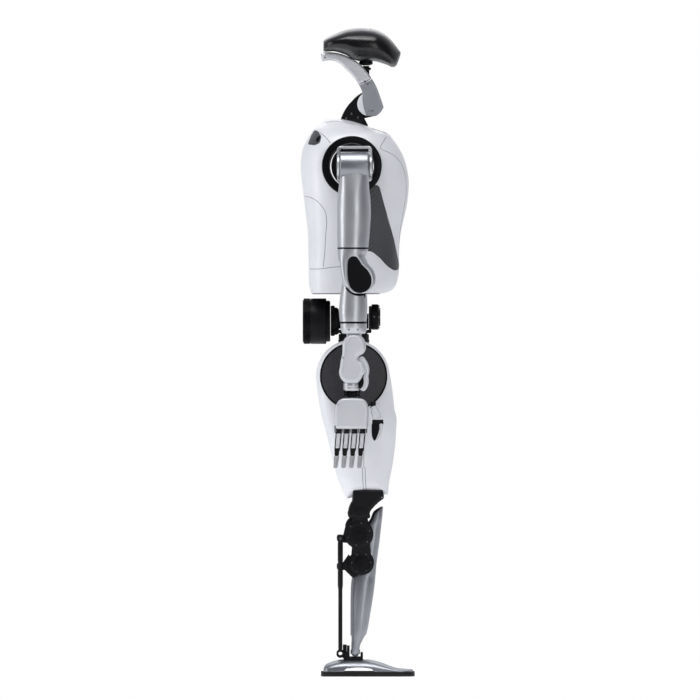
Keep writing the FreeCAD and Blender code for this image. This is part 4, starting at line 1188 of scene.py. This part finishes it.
add("right_ankle_base", joined(
    flat(rounded_corners([(-37, LEG_Y - 13), (14, LEG_Y - 13), (14, LEG_Y + 13), (-37, LEG_Y + 13)], 4),
         42, 51, 1.5),
    across(ankle_lug(55, 62.5), 11, 3.2, 1.2),
    across(ankle_lug(66, 80), -24.5, 3.6, 1.4),
    pillow(trace((-40, 50), [(-39, 58), (-39, 82), (-28.5, 82), (-28.5, 64), (-24, 58), (-24, 46),
                             (-36, 46)]), LEG_Y, 11.5, 2),
), "foot", BLACK)

# ---------------------------------------------------------------- carried-over CAD nodes

CAD_MATERIAL = {"torso_frame": BLACK, "battery_pack": GREY, "waist_cross": BLACK}
for side in ("right", "left"):
    CAD_MATERIAL[f"{side}_ankle_cross"] = STEEL
for label, item in frame["nodes"].items():
    item.data.materials.clear()
    item.data.materials.append(CAD_MATERIAL.get(label, BLACK))

# ---------------------------------------------------------------- studio

CENTRE = Vector((-0.020, 0, 0.859))
ACROSS = 1.8445
DISTANCE = 80.0

FLOOR_RADIUS = 3200
floor_rings = [[(FLOOR_RADIUS * r * cos(tau * k / 96), FLOOR_RADIUS * r * sin(tau * k / 96), -0.4)
                for k in range(96)] for r in (0.02, 0.3, 0.7, 1.0)]
floor_mesh = loft(floor_rings, False)
floor = bpy.data.objects.new("floor", floor_mesh)
bpy.context.scene.collection.objects.link(floor)
floor_paint = varied("floor_paint", (0.925, 0.925, 0.93), (0.935, 0.935, 0.94), 0.85, 0.03, grain=60,
                     grain_strength=0.01)
floor_shader = floor_paint.node_tree.nodes["Principled BSDF"]
floor_shader.inputs["Emission Color"].default_value = (1, 1, 1, 1)
floor_shader.inputs["Emission Strength"].default_value = 0.4
floor_mesh.materials.append(floor_paint)
floor_mesh.shade_smooth()


def softbox(name, at, aim, wide, high, power, mirrored=True, lights_paint=True):
    lamp = bpy.data.lights.new(name, "AREA")
    lamp.shape = "RECTANGLE"
    lamp.size = wide
    lamp.size_y = high
    lamp.energy = power
    holder = bpy.data.objects.new(name, lamp)
    holder.visible_glossy = mirrored
    holder.visible_diffuse = lights_paint
    holder.location = at
    holder.rotation_euler = (Vector(aim) - Vector(at)).to_track_quat("-Z", "Y").to_euler()
    bpy.context.scene.collection.objects.link(holder)


softbox("key", (-3.2, -3.9, 3.9), (0, 0, 1.0), 2.4, 2.4, 122, mirrored=False)
softbox("second", (3.0, -4.4, 3.2), (0, 0, 1.0), 2.0, 2.0, 50, mirrored=False)
softbox("front_strip", (1.7, -5.0, 1.2), (0, 0, 0.95), 1.3, 3.4, 34)
softbox("top", (0.2, -1.0, 5.0), (0, 0, 0.9), 3.0, 1.6, 60)
softbox("left_strip", (-4.6, -0.6, 1.4), (0, 0, 0.95), 0.8, 3.4, 50)
softbox("crown", (-0.4, -1.7, 4.4), (0, 0, 1.68), 3.4, 1.1, 80, lights_paint=False)
softbox("back", (0, 4.2, 3.6), (0, 0, 1.0), 3.0, 2.4, 30)

world = bpy.data.worlds.new("studio")
bpy.context.scene.world = world
world.use_nodes = True
tree = world.node_tree
fill = tree.nodes["Background"]
fill.inputs["Strength"].default_value = 1.0
way_out = tree.nodes.new("ShaderNodeTexCoord")
way_parts = tree.nodes.new("ShaderNodeSeparateXYZ")
tree.links.new(way_out.outputs["Generated"], way_parts.inputs["Vector"])
spread = tree.nodes.new("ShaderNodeMapRange")
spread.inputs["From Min"].default_value = -1
tree.links.new(way_parts.outputs["Y"], spread.inputs["Value"])
tree.links.new(ramp(tree, spread.outputs["Result"], (0.15, 0.155, 0.17), (0.70, 0.71, 0.75), 0.4, 0.95),
               fill.inputs["Color"])
seen = tree.nodes.new("ShaderNodeBackground")
seen.inputs["Color"].default_value = (1, 1, 1, 1)
seen.inputs["Strength"].default_value = 1.0
path = tree.nodes.new("ShaderNodeLightPath")
choice = tree.nodes.new("ShaderNodeMixShader")
tree.links.new(path.outputs["Is Camera Ray"], choice.inputs["Fac"])
tree.links.new(fill.outputs["Background"], choice.inputs[1])
tree.links.new(seen.outputs["Background"], choice.inputs[2])
tree.links.new(choice.outputs["Shader"], tree.nodes["World Output"].inputs["Surface"])

lens = bpy.data.cameras.new("camera")
lens.sensor_width = 36
lens.lens = 36 * DISTANCE / ACROSS
lens.clip_end = 200
eye = bpy.data.objects.new("camera", lens)
eye.location = CENTRE + Vector((0, -DISTANCE, 0))
eye.rotation_euler = (pi / 2, 0, 0)
bpy.context.scene.collection.objects.link(eye)
bpy.context.scene.camera = eye
bpy.context.scene.view_settings.view_transform = "Standard"
bpy.context.scene.view_settings.look = "None"
